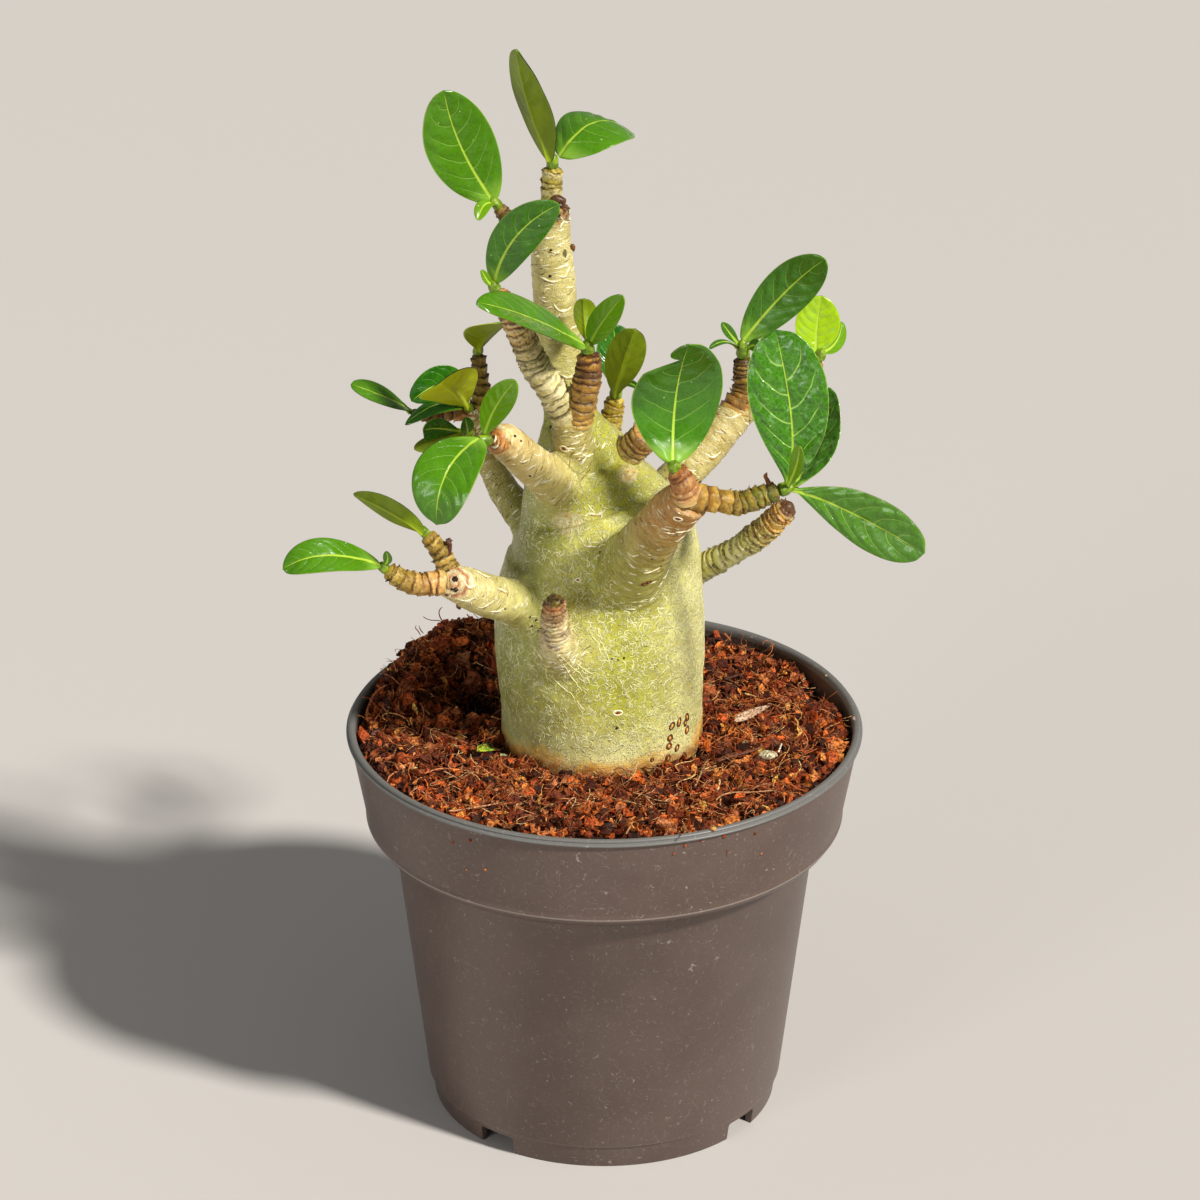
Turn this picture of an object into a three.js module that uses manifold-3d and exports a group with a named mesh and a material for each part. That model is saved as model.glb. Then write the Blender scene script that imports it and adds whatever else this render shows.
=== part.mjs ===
// Potted desert rose (adenium) in a twelve centimetre plastic nursery pot.
// Millimetres, +Z up, origin on the floor under the middle of the pot, front towards -Y.
import * as THREE from 'three';
import { mergeVertices } from 'three/addons/utils/BufferGeometryUtils.js';
import Module from 'manifold-3d';

const wasm = await Module();
wasm.setup();

// Driving dimensions of the pot
const rimRadius = 60;
const potHeight = 96;
const rimWidth = 2.2;
const rimDrop = 3.2;
const wall = 1.3;
const collarTopRadius = 58.9;
const collarLowRadius = 55.7;
const collarFootRadius = 54.45;
const collarFootHeight = 71.7;
const bodyTopRadius = 49.4;
const bodyTopHeight = 69.8;
const bodyFootRadius = 42.0;
const bodyFootHeight = 6.0;
const skirtTopRadius = 41.4;
const skirtRadius = 40.6;
const skirtWall = 1.6;
const floorTop = 5.8;
const floorUnder = 4.3;
const potSegments = 48;
const notchAngles = [-128, -38, 52, 142];
const notchWidth = 9.5;
const notchHeight = 4.4;
const notchReach = 8;
const drainCount = 6;
const drainSides = 16;
const drainRadius = 3.5;
const drainCircle = 26;
const centreDrainRadius = 5;

// Soil surface and the blind hole that the caudex stands in
const fit = 0.3;
const curveSlack = 0.1;
const soilLevel = 93;
const soilSectors = 40;
const soilRings = 7;
const soilRoughness = 0.7;
const soilEdgeDrop = 0.4;
const soilEdgeInset = 0.2;
const caudexCentreX = -0.6;
const caudexSides = 28;

// Leaves
const bladeThickness = 0.7;
const budGap = 0.3;
const budSides = 6;
const budStations = [
  { t: 0, scale: 0.8 },
  { t: 0.3, scale: 1 },
  { t: 0.75, scale: 0.85 },
  { t: 1, scale: 0.4 },
];
const leastBaseWidth = 0.75;
const leastTipWidth = 0.4;
const leafSteps = 8;
const smallLeafSteps = 4;
const smallLeafWidth = 4;

const potColour = { color: 0x4f4a48, roughness: 0.55, metalness: 0 };
const soilColour = { color: 0x5e2a17, roughness: 0.95, metalness: 0 };
const barkColour = { color: 0xb5b077, roughness: 0.6, metalness: 0 };
const leafColours = {
  deep: { color: 0x2c6e1f, roughness: 0.3, metalness: 0 },
  olive: { color: 0x6d7a12, roughness: 0.5, metalness: 0 },
  young: { color: 0x4f9a1c, roughness: 0.35, metalness: 0 },
  lime: { color: 0x8fb92b, roughness: 0.35, metalness: 0 },
};

// Repeatable random numbers between -1 and 1
function makeRandom(seed) {
  let state = seed;
  return () => {
    state = (state * 1664525 + 1013904223) % 4294967296;
    return (state / 4294967296) * 2 - 1;
  };
}

// Closed meshes and solids
function toSolid(geometry) {
  const bare = geometry.clone();
  bare.deleteAttribute('normal');
  bare.deleteAttribute('uv');
  const merged = mergeVertices(bare, 1e-4);
  const vertProperties = new Float32Array(merged.attributes.position.array);
  const triVerts = new Uint32Array(merged.index.array);
  return new wasm.Manifold(new wasm.Mesh({ numProp: 3, vertProperties, triVerts }));
}

function toGeometry(solid) {
  const mesh = solid.getMesh();
  const geometry = new THREE.BufferGeometry();
  geometry.setAttribute('position', new THREE.BufferAttribute(mesh.vertProperties, 3));
  geometry.setIndex(new THREE.BufferAttribute(mesh.triVerts, 1));
  geometry.computeVertexNormals();
  return geometry;
}

// Skin over a stack of rings with equal vertex counts, closed by a fan at each end
function skinRings(rings) {
  const count = rings[0].length;
  const positions = [];
  const index = [];
  for (const ring of rings) {
    for (const point of ring) {
      positions.push(point.x, point.y, point.z);
    }
  }
  for (let row = 0; row + 1 < rings.length; row++) {
    for (let side = 0; side < count; side++) {
      const next = (side + 1) % count;
      const a = row * count + side;
      const b = row * count + next;
      const c = a + count;
      const d = b + count;
      index.push(a, b, d, a, d, c);
    }
  }
  for (const [row, flip] of [[0, true], [rings.length - 1, false]]) {
    const middle = new THREE.Vector3();
    for (const point of rings[row]) {
      middle.addScaledVector(point, 1 / count);
    }
    const centre = positions.length / 3;
    positions.push(middle.x, middle.y, middle.z);
    for (let side = 0; side < count; side++) {
      const a = row * count + side;
      const b = row * count + ((side + 1) % count);
      index.push(...(flip ? [b, a, centre] : [a, b, centre]));
    }
  }
  const geometry = new THREE.BufferGeometry();
  geometry.setAttribute('position', new THREE.BufferAttribute(new Float32Array(positions), 3));
  geometry.setIndex(index);
  geometry.computeVertexNormals();
  return geometry;
}

// Pot: one lathe profile, cut by the foot notches and the drain holes
function rimBead() {
  const beadRadius = rimWidth / 2;
  const points = [];
  for (let degrees = 160; degrees >= -60; degrees -= 55) {
    const angle = THREE.MathUtils.degToRad(degrees);
    const r = rimRadius - beadRadius + beadRadius * Math.cos(angle);
    const z = potHeight - beadRadius + beadRadius * Math.sin(angle);
    points.push(new THREE.Vector2(r, z));
  }
  return points;
}

function potProfile() {
  const v = (r, z) => new THREE.Vector2(r, z);
  return [
    v(0, floorTop),
    v(bodyFootRadius - wall - 1.2, floorTop),
    v(bodyFootRadius - wall, floorTop + 1.4),
    v(bodyTopRadius - wall, bodyTopHeight + 0.9),
    v(collarFootRadius - wall, collarFootHeight + 1.1),
    v(collarLowRadius - wall, collarFootHeight + 4.5),
    v(collarTopRadius - wall, potHeight - rimDrop),
    ...rimBead(),
    v(collarTopRadius, potHeight - rimDrop),
    v(collarLowRadius, collarFootHeight + 3.2),
    v(collarLowRadius - 0.4, collarFootHeight + 1.0),
    v(collarFootRadius, collarFootHeight),
    v(bodyTopRadius + 1.2, bodyTopHeight + 0.5),
    v(bodyTopRadius, bodyTopHeight - 0.6),
    v(bodyFootRadius, bodyFootHeight),
    v(skirtTopRadius, bodyFootHeight - 0.15),
    v(skirtRadius, 0),
    v(skirtRadius - skirtWall, 0),
    v(skirtRadius - skirtWall, floorUnder),
    v(0, floorUnder),
  ];
}

function makePot() {
  const lathe = new THREE.LatheGeometry(potProfile().reverse(), potSegments);
  lathe.rotateX(Math.PI / 2);
  let pot = toSolid(lathe);
  for (const degrees of notchAngles) {
    const notch = new THREE.BoxGeometry(notchWidth, notchReach, notchHeight * 2);
    notch.translate(0, -skirtRadius, 0);
    notch.rotateZ(THREE.MathUtils.degToRad(degrees));
    pot = pot.subtract(toSolid(notch));
  }
  const drains = [[0, 0, centreDrainRadius]];
  for (let i = 0; i < drainCount; i++) {
    const angle = (i / drainCount) * Math.PI * 2;
    drains.push([drainCircle * Math.cos(angle), drainCircle * Math.sin(angle), drainRadius]);
  }
  for (const [x, y, radius] of drains) {
    const hole = new THREE.CylinderGeometry(radius, radius, floorTop, drainSides);
    hole.rotateX(Math.PI / 2);
    hole.translate(x, y, floorUnder);
    pot = pot.subtract(toSolid(hole));
  }
  return toGeometry(pot);
}

// Part of the caudex below the surface: radius and height, from the bottom upwards
const caudexFootRadius = 23.4;
const buriedCaudex = [
  [5, 63],
  [12, 67],
  [19, 75],
  [22.3, 83],
  [caudexFootRadius, 89],
];

// Soil: height of the surface, with the heap at the back left, the hollow beside the
// caudex, the dip along the right wall and the rise towards the front rim
const soilForms = [
  { x: -36, y: 40, spread: 13, lift: 7.5 },
  { x: -48, y: 22, spread: 10, lift: 4.5 },
  { x: -30, y: 23, spread: 8.5, lift: -12.5 },
  { x: 52, y: 22, spread: 7, lift: -5 },
  { x: 0, y: -56, spread: 20, lift: 2.4 },
  { x: 48, y: -22, spread: 12, lift: 1.2 },
];

function soilHeight(x, y) {
  let z = soilLevel;
  for (const form of soilForms) {
    const distance = Math.hypot(x - form.x, y - form.y) / form.spread;
    z += form.lift * Math.exp(-distance * distance);
  }
  return z;
}

// Inside radius of the pot's collar at a height
function wallRadius(z) {
  const low = collarFootHeight + 4.5;
  const high = potHeight - rimDrop;
  const t = THREE.MathUtils.clamp((z - low) / (high - low), 0, 1);
  return THREE.MathUtils.lerp(collarLowRadius - wall, collarTopRadius - wall, t);
}

function makeSoil() {
  const random = makeRandom(7);
  const profile = potProfile();
  const inner = profile.slice(1, 7).map((point) => [point.x - fit - curveSlack, point.y + fit]);
  const outerRadius = collarTopRadius - wall - fit - soilEdgeInset;
  const ring = (radiusAt, heightAt, centreX) => {
    const points = [];
    for (let i = 0; i < soilSectors; i++) {
      const angle = (i / soilSectors) * Math.PI * 2;
      const radius = radiusAt(angle);
      const x = centreX + radius * Math.cos(angle);
      const y = radius * Math.sin(angle);
      points.push(new THREE.Vector3(x, y, heightAt(x, y)));
    }
    return points;
  };
  const rings = [];
  for (const [radius, z] of buriedCaudex) {
    rings.push(ring(() => radius + fit + curveSlack, () => z - fit, caudexCentreX));
  }
  const holeRadius = caudexFootRadius + fit + curveSlack;
  rings.push(ring(() => holeRadius, soilHeight, caudexCentreX));
  for (let i = 1; i < soilRings; i++) {
    const t = i / soilRings;
    const radius = holeRadius + (outerRadius - holeRadius) * t;
    const centreX = caudexCentreX * (1 - t);
    rings.push(ring(() => radius, (x, y) => soilHeight(x, y) + soilRoughness * random(), centreX));
  }
  const edgeHeight = (angle) => {
    const x = outerRadius * Math.cos(angle);
    const y = outerRadius * Math.sin(angle);
    return soilHeight(x, y) - soilEdgeDrop;
  };
  const edgeRadius = (angle) => wallRadius(edgeHeight(angle)) - fit - soilEdgeInset;
  rings.push(ring(edgeRadius, (x, y) => edgeHeight(Math.atan2(y, x)), 0));
  for (const [radius, z] of inner.slice(0, 5).reverse()) {
    rings.push(ring(() => radius, () => z, 0));
  }
  return skinRings(rings.reverse());
}

// Woody axes: points are x, y, z and radius, from inside the parent to the tip
const caudexPoints = [
  ...buriedCaudex.map(([radius, z]) => [caudexCentreX, 0, z, radius]),
  [caudexCentreX, 0, 102, caudexFootRadius],
  [-1.1, 0, 114, 24.1],
  [-1, 0, 127, 23.9],
  [-0.4, 0, 134.5, 23],
  [-0.4, 0, 141, 21.8],
  [-1.7, 0, 147.3, 19.4],
  [-3.1, 1, 151.8, 16.9],
  [-4.4, 1, 156.8, 14.6],
  [-5.2, 2, 161.3, 12],
  [-6.9, 1, 168, 8.4],
  [-8.2, 1, 173, 6],
];

const woodyAxes = [
  { name: 'leader', ringed: 0, sides: 12, points: [
    [-5.3, 3, 159, 9], [-8, 4, 172.9, 6], [-10.5, 5, 190.6, 5.3], [-11.4, 5, 204, 4.9],
    [-12, 5, 213, 4.6], [-12.2, 5, 218, 4.2]] },
  { name: 'leader shoot', ringed: 2.7, sides: 8, points: [
    [-12.3, 5, 215, 2.6], [-11.9, 5, 224.6, 2.4], [-11.6, 5, 231.2, 2.2]] },
  { name: 'twig', ringed: 2.8, sides: 7, points: [
    [-11, 5, 210.5, 1.8], [-17.8, 4, 216.1, 1.6], [-21.5, 3, 219.6, 1.6], [-23.6, 2, 222.9, 1.5]] },
  { name: 'front neck', ringed: 0, sides: 10, points: [
    [-5.5, -4, 158, 6.5], [-7, -7.5, 168, 4.9], [-7.4, -9, 178, 4.3]] },
  { name: 'left shoot', ringed: 3.2, sides: 9, points: [
    [-7.4, -9, 176, 4], [-11.5, -10, 183.5, 3.6], [-15.3, -11, 189.8, 3.3], [-17.7, -12, 196, 3.1],
    [-20.3, -13, 202.4, 2.8], [-24, -13, 209, 1.9]] },
  { name: 'middle shoot', ringed: 2.7, sides: 9, points: [
    [-6.6, -9.5, 175, 3.6], [-4.4, -11, 183.9, 3.2], [-3.5, -11, 189.8, 2.8], [-3.7, -11, 193.2, 2.3]] },
  { name: 'low shoot', ringed: 2.7, sides: 8, points: [
    [-1, 6, 156, 3.2], [0.8, 8, 161.7, 2.6], [1.6, 9, 168.2, 2.4], [2.5, 9, 174, 2.1]] },
  { name: 'left stub', ringed: 0, sides: 10, points: [
    [-5, -4, 153, 8], [-10, -10, 160, 5.6], [-17.1, -17, 169.3, 4.4], [-22.1, -23, 177, 4],
    [-24.3, -25, 178.9, 3.4]] },
  { name: 'left stub tip', ringed: 0, sides: 8, points: [
    [-23.3, -25, 178.1, 2.7], [-25.6, -26.8, 178.9, 2.1]] },
  { name: 'shoulder stub', ringed: 3, sides: 9, points: [
    [-1, 4, 155, 5], [1.7, 2, 159.4, 4], [4, 0, 162.7, 3.6], [8.3, -3, 168.5, 3.5],
    [9.8, -4, 170.9, 3.2]] },
  { name: 'back left branch', ringed: 0, sides: 10, points: [
    [-9, 4, 128, 8], [-17.1, 10, 141.4, 4.6], [-22.9, 14, 148, 3.7], [-26.8, 16, 155.7, 3.2],
    [-28.8, 17, 162.8, 3], [-29, 17, 168, 2.5]] },
  { name: 'back shoot', ringed: 2.8, sides: 8, points: [
    [-29, 17, 165, 2.3], [-28.4, 18, 173.1, 1.9], [-28.9, 18, 180.9, 1.6]] },
  { name: 'side shoot', ringed: 2.7, sides: 7, points: [
    [-29, 17, 166, 2], [-34.3, 16, 166.9, 1.7], [-38.8, 15, 166.6, 1.6], [-42.2, 14, 167.6, 1.4]] },
  { name: 'knot', ringed: 0, sides: 7, points: [
    [-29, 17, 165.5, 2.4], [-30.9, 14.9, 168.4, 1.6]] },
  { name: 'shaded shoot', ringed: 0, sides: 7, points: [
    [-28.4, 16, 160, 2.1], [-30.6, 12.8, 162.8, 1.5]] },
  { name: 'lower left branch', ringed: 0, sides: 12, points: [
    [-7, -4, 124, 10], [-15.8, -12, 130.2, 6.1], [-22.5, -19, 136.1, 5], [-25.8, -22, 138.4, 4.8],
    [-30.2, -25, 141.7, 4.6], [-33.5, -27, 144.1, 4.1], [-36.8, -28.8, 145.6, 3.1]] },
  { name: 'lower left shoot', ringed: 2.7, sides: 8, points: [
    [-35, -28, 145, 3.2], [-41.2, -30, 145.2, 2.6], [-44.9, -31, 146.8, 2.3], [-48.6, -31.2, 149.4, 1.8]] },
  { name: 'upper left shoot', ringed: 2.7, sides: 8, points: [
    [-33.8, -26, 144, 2.9], [-36.8, -26, 151.3, 2.2], [-38.7, -26, 154.2, 2], [-39.8, -26, 155.6, 1.7]] },
  { name: 'front stub', ringed: 2.2, sides: 9, points: [
    [-7, -16, 118, 7], [-9.6, -21, 124.5, 4.5], [-11.2, -25, 129.9, 3.4], [-11.3, -28, 135.4, 2.6],
    [-11.1, -31, 141, 2]] },
  { name: 'front branch', ringed: 0, sides: 14, points: [
    [1, -3, 127, 13], [4, -12, 136.5, 9.4], [7, -22, 147, 7.5], [11.2, -31, 158.2, 5.9],
    [15.5, -37, 166.6, 5.4], [19.1, -41, 171.6, 4.9]] },
  { name: 'front knob', ringed: 2.2, sides: 8, points: [
    [18.2, -41, 171.5, 4], [16.8, -43.7, 177, 2.5], [15.4, -44.6, 179.8, 1.9]] },
  { name: 'right shoot', ringed: 2.7, sides: 8, points: [
    [18.5, -41, 172, 3.6], [24.2, -41, 170.8, 2.6], [29.5, -40, 169.6, 2.6], [33.8, -39, 170.5, 2.6],
    [38.4, -38.2, 171.8, 2]] },
  { name: 'lower right shoot', ringed: 2.8, sides: 9, points: [
    [13, 5, 127, 6], [19.7, 4, 132.3, 3.9], [23.6, 2, 135, 3], [29.6, -2, 140.4, 2.7],
    [35.3, -6, 146.5, 2.8], [42.3, -10, 155.8, 2.4]] },
  { name: 'back right branch', ringed: 0, sides: 12, points: [
    [0, 4, 138, 10], [5.9, 8, 143.1, 6.6], [10.5, 12, 145.8, 5.2], [19.8, 18, 153, 4.7],
    [27.2, 23, 159.6, 4.4], [31.2, 26, 163.5, 4.2]] },
  { name: 'far shoot', ringed: 2.7, sides: 8, points: [
    [29.5, 25, 161.5, 4.2], [32.7, 27, 168.5, 3], [32.2, 26.6, 172.5, 2.4], [32, 26.3, 176.6, 2]] },
  { name: 'far twig', ringed: 0, sides: 8, points: [
    [29.8, 25, 161.8, 3.7], [37.2, 27, 166, 3], [44.1, 28, 169.6, 2.3], [48.5, 28, 172.8, 1.9],
    [49.4, 28, 175.4, 1.7]] },
];

const ringSteps = [[0, 0.95], [0.45, 1.08]];
const ringedEndScale = 0.92;
const barkSectionLength = 7;

function smoothPath(points) {
  const places = points.map(([x, y, z]) => new THREE.Vector3(x, y, z));
  return new THREE.CatmullRomCurve3(places, false, 'centripetal');
}

function radiusAlong(points, t) {
  const place = t * (points.length - 1);
  const i = Math.min(Math.floor(place), points.length - 2);
  return THREE.MathUtils.lerp(points[i][3], points[i + 1][3], place - i);
}

// Places along an axis: evenly spread on bark, a groove and a crest to each leaf-scar ring
function axisStations(axis, curve) {
  const length = curve.getLength();
  const stations = [];
  if (!axis.ringed) {
    const count = Math.max(3, Math.round(length / barkSectionLength));
    for (let i = 0; i <= count; i++) {
      stations.push({ t: i / count, scale: 1 });
    }
    return stations;
  }
  const rings = Math.max(3, Math.round(length / axis.ringed));
  for (let i = 0; i < rings; i++) {
    for (const [step, scale] of ringSteps) {
      stations.push({ t: (i + step) / rings, scale });
    }
  }
  stations.push({ t: 1, scale: ringedEndScale });
  return stations;
}

// Closed tube swept along a path, its section carried without twist
function sweep(path, stations, radiusAt, sides) {
  const rings = [];
  let across = null;
  for (const { t, scale } of stations) {
    const centre = path.getPoint(t);
    const along = path.getTangent(t).normalize();
    if (!across) {
      const helper = Math.abs(along.z) > 0.9 ? new THREE.Vector3(1, 0, 0) : new THREE.Vector3(0, 0, 1);
      across = new THREE.Vector3().crossVectors(helper, along);
    }
    across.addScaledVector(along, -across.dot(along)).normalize();
    const other = new THREE.Vector3().crossVectors(along, across);
    const radius = radiusAt(t) * scale;
    const ring = [];
    for (let side = 0; side < sides; side++) {
      const angle = (side / sides) * Math.PI * 2;
      const point = centre.clone();
      point.addScaledVector(across, radius * Math.cos(angle));
      point.addScaledVector(other, radius * Math.sin(angle));
      ring.push(point);
    }
    rings.push(ring);
  }
  return skinRings(rings);
}

function makeAxis(axis) {
  const path = smoothPath(axis.points);
  return sweep(path, axisStations(axis, path), (t) => radiusAlong(axis.points, t), axis.sides);
}

function makeCaudex() {
  const rings = caudexPoints.map(([x, y, z, radius]) => {
    const ring = [];
    for (let side = 0; side < caudexSides; side++) {
      const angle = (side / caudexSides) * Math.PI * 2;
      ring.push(new THREE.Vector3(x + radius * Math.cos(angle), y + radius * Math.sin(angle), z));
    }
    return ring;
  });
  return skinRings(rings);
}

function makeWoodyBody() {
  let body = toSolid(makeCaudex());
  for (const axis of woodyAxes) {
    body = body.add(toSolid(makeAxis(axis)));
  }
  return toGeometry(body);
}

// Leaf outlines: how fast the blade widens from its base and narrows to its tip
const outlines = {
  oval: { widen: 0.65, narrow: 0.57 },
  lance: { widen: 0.58, narrow: 0.7 },
  round: { widen: 0.92, narrow: 0.57 },
  spoon: { widen: 1.3, narrow: 0.52 },
};

// Leaves of each shoot: base, middle and tip of the midrib, width, and roll of the blade
// about its midrib in degrees, measured from the side that faces straight up
const shoots = [
  { name: 'leaves_leader', tip: 'leader shoot', bud: [1.7, 3.2], colour: 'olive', leaves: [
    { base: [-11.5, 4.2, 232.6], mid: [-16.5, 5.5, 246], tip: [-19, -5, 262.5],
      width: 11.7, roll: -5, outline: 'lance', fold: 14 },
    { base: [-10.2, 5.6, 233.3], mid: [-2, 11.5, 239.5], tip: [6.5, 20, 233.5],
      width: 17, roll: 10, outline: 'lance', fold: -8 }] },
  { name: 'leaves_twig', tip: 'twig', bud: [1.5, 3], colour: 'deep', leaves: [
    { base: [-24.3, 1.4, 224], mid: [-31.5, -2.5, 238.5], tip: [-35, -9, 254],
      width: 15.8, roll: -120, outline: 'oval' },
    { base: [-24, 1.6, 223.6], mid: [-26.5, -1, 224.6], tip: [-28, -4, 222],
      width: 3.4, roll: -20, outline: 'round' }] },
  { name: 'leaves_left', tip: 'left shoot', bud: [1.7, 2.6], colour: 'deep', leaves: [
    { base: [-24.5, -13, 210.3], mid: [-19.5, -18, 223.5], tip: [-10, -23, 233],
      width: 10, roll: 105, outline: 'oval' },
    { base: [-24.6, -13.4, 210.2], mid: [-25.8, -15, 212.2], tip: [-27, -16, 215],
      width: 2, roll: -90, outline: 'round' }] },
  { name: 'leaves_middle', tip: 'middle shoot', bud: [1.9, 3.2], colour: 'young', leaves: [
    { base: [-4.4, -11.8, 195.6], mid: [-16.5, -26, 208], tip: [-27.5, -36, 215.5],
      width: 12.8, roll: -30, outline: 'lance' },
    { base: [-3.4, -11, 194.7], mid: [-1, -14, 201], tip: [4, -19, 210],
      width: 6.4, roll: 110, outline: 'round', fold: 14 },
    { base: [-3.6, -10.2, 194.6], mid: [-4.2, -5.5, 198], tip: [-4.5, -4, 203.5],
      width: 5.5, roll: 160, outline: 'spoon' }] },
  { name: 'leaves_low', tip: 'low shoot', bud: [1.8, 2.6], colour: 'olive', leaves: [
    { base: [2.2, 9.6, 175.5], mid: [3, 19, 176.6], tip: [2, 24, 185.5],
      width: 10.2, roll: 15, outline: 'spoon' },
    { base: [2.5, 8.3, 175.2], mid: [3.5, 3, 182.5], tip: [7, -1, 195],
      width: 8.8, roll: -35, outline: 'spoon' },
    { base: [3.1, 8.5, 175.4], mid: [5.4, 6, 178.6], tip: [7.6, 3, 178.5],
      width: 1.8, roll: 40, outline: 'round' }] },
  { name: 'leaves_stub', tip: 'left stub tip', bud: [1.8, 3.4], colour: 'young', leaves: [
    { base: [-26.8, -27.2, 179.6], mid: [-24, -31, 188.5], tip: [-19.5, -35, 196.5],
      width: 6.8, roll: 120, outline: 'round', fold: 14 },
    { base: [-27.2, -28.2, 180.3], mid: [-34.5, -41, 177.5], tip: [-37, -43, 165.5],
      width: 14.8, roll: -10, outline: 'oval' }] },
  { name: 'leaves_back', tip: 'back shoot', bud: [1.5, 2.2], colour: 'olive', leaves: [
    { base: [-29, 18, 181.9], mid: [-27, 14.5, 187], tip: [-22.5, 8, 193],
      width: 13.6, roll: 0, outline: 'spoon', fold: 16 }] },
  { name: 'leaves_knot', tip: 'knot', bud: [1.3, 2.6], colour: 'olive', leaves: [
    { base: [-31.7, 14.2, 169.5], mid: [-34, 3, 178], tip: [-37, -2, 182.5],
      width: 14.9, roll: 35, outline: 'spoon' },
    { base: [-31.8, 14.2, 169.8], mid: [-36.5, 11.5, 176], tip: [-44, 9.5, 172.5],
      width: 9, roll: -70, outline: 'oval' },
    { base: [-31.9, 14, 169.6], mid: [-38, 9.5, 172], tip: [-45.5, 6, 168.5],
      width: 5.8, roll: -10, outline: 'lance', fold: -8 }] },
  { name: 'leaves_side', tip: 'side shoot', bud: [1.3, 2.2], colour: 'deep', leaves: [
    { base: [-43.5, 13.8, 168.2], mid: [-49, 8, 174], tip: [-57.5, 6, 178.5],
      width: 6.2, roll: -35, outline: 'spoon' }] },
  { name: 'leaves_shade', tip: 'shaded shoot', bud: [1.4, 2.8], colour: 'deep', leaves: [
    { base: [-32, 11.8, 163.8], mid: [-37.5, 4.5, 168], tip: [-41, 1, 169],
      width: 6.4, roll: -110, outline: 'spoon' },
    { base: [-31.9, 11.5, 163.6], mid: [-37.5, 6, 164.2], tip: [-43.2, 1, 164.2],
      width: 5, roll: 155, outline: 'oval' },
    { base: [-31.2, 12.2, 163.4], mid: [-31.2, 8.6, 166], tip: [-31.6, 6, 170],
      width: 3.6, roll: -145, outline: 'round' }] },
  { name: 'leaves_lower_left', tip: 'lower left shoot', bud: [1.5, 2.4], colour: 'young', leaves: [
    { base: [-49.4, -31.6, 150.6], mid: [-61.5, -39, 156.5], tip: [-71.2, -40, 153.5],
      width: 8.9, roll: -35, outline: 'oval' },
    { base: [-49.1, -31.6, 150.4], mid: [-48.2, -33, 152.6], tip: [-48.5, -34, 155],
      width: 2.2, roll: 155, outline: 'round' }] },
  { name: 'leaves_upper_left', tip: 'upper left shoot', bud: [1.4, 2.2], colour: 'olive', leaves: [
    { base: [-40.3, -26, 156.3], mid: [-48, -26, 161.5], tip: [-56, -18, 162],
      width: 6.3, roll: 85, outline: 'lance', fold: 18 }] },
  { name: 'leaves_front', tip: 'front knob', bud: [1.8, 2.2], colour: 'deep', leaves: [
    { base: [14.9, -44.9, 181], mid: [15.5, -40.5, 195], tip: [18, -52, 212],
      width: 20.4, roll: 170, outline: 'oval', fold: 7, leftEnd: 0.9 }] },
  { name: 'leaves_right', tip: 'right shoot', bud: [1.9, 3.4], colour: 'deep', leaves: [
    { base: [39.6, -38, 172.4], mid: [41, -38.5, 186.5], tip: [37, -36, 209],
      width: 17.8, roll: -55, outline: 'spoon' },
    { base: [41.2, -37, 172], mid: [45.5, -28.5, 176.5], tip: [49.5, -22, 189.5],
      width: 14.4, roll: -15, outline: 'round' },
    { base: [41, -38, 171.8], mid: [53, -41.5, 168.5], tip: [69.8, -50, 162],
      width: 13.5, roll: 90, outline: 'spoon', fold: 8 },
    { base: [40, -38.8, 172.8], mid: [41.8, -43, 180], tip: [42.2, -45, 185.5],
      width: 3.4, roll: -60, outline: 'round', fold: 14 }] },
  { name: 'leaves_far', tip: 'far shoot', bud: [1.9, 4.4], colour: 'deep', leaves: [
    { base: [31.6, 26, 180.2], mid: [41.5, 24.5, 193.5], tip: [50, 19, 203.5],
      width: 11.4, roll: 95, outline: 'oval' },
    { base: [31, 26, 179.8], mid: [29, 25, 182.8], tip: [27, 23, 186.4],
      width: 2.5, roll: -105, outline: 'round' },
    { base: [30.9, 26, 179.2], mid: [27.5, 24, 181.4], tip: [24, 22, 180.5],
      width: 2.4, roll: -5, outline: 'round' },
    { base: [32.6, 25.6, 178.9], mid: [34.3, 24, 180.4], tip: [35.4, 22.4, 180],
      width: 3.2, roll: 70, outline: 'round' }] },
  { name: 'leaves_tip', tip: 'far twig', bud: [1.7, 2.6], colour: 'lime', leaves: [
    { base: [48.8, 27.8, 176.9], mid: [49, 29.5, 183], tip: [50, 30.5, 190],
      width: 10.8, roll: 30, outline: 'oval', fold: 14 },
    { base: [50, 28.4, 176.8], mid: [53.6, 33, 177.4], tip: [55.2, 37, 181],
      width: 4.2, roll: 60, outline: 'round' }] },
];

// Half width of a blade one unit wide, at a share t of its length
function halfWidth(t, { widen, narrow }) {
  const peak = widen / (widen + narrow);
  const top = peak ** widen * (1 - peak) ** narrow;
  return (Math.max(t, 0) ** widen * Math.max(1 - t, 0) ** narrow) / top / 2;
}

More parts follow.
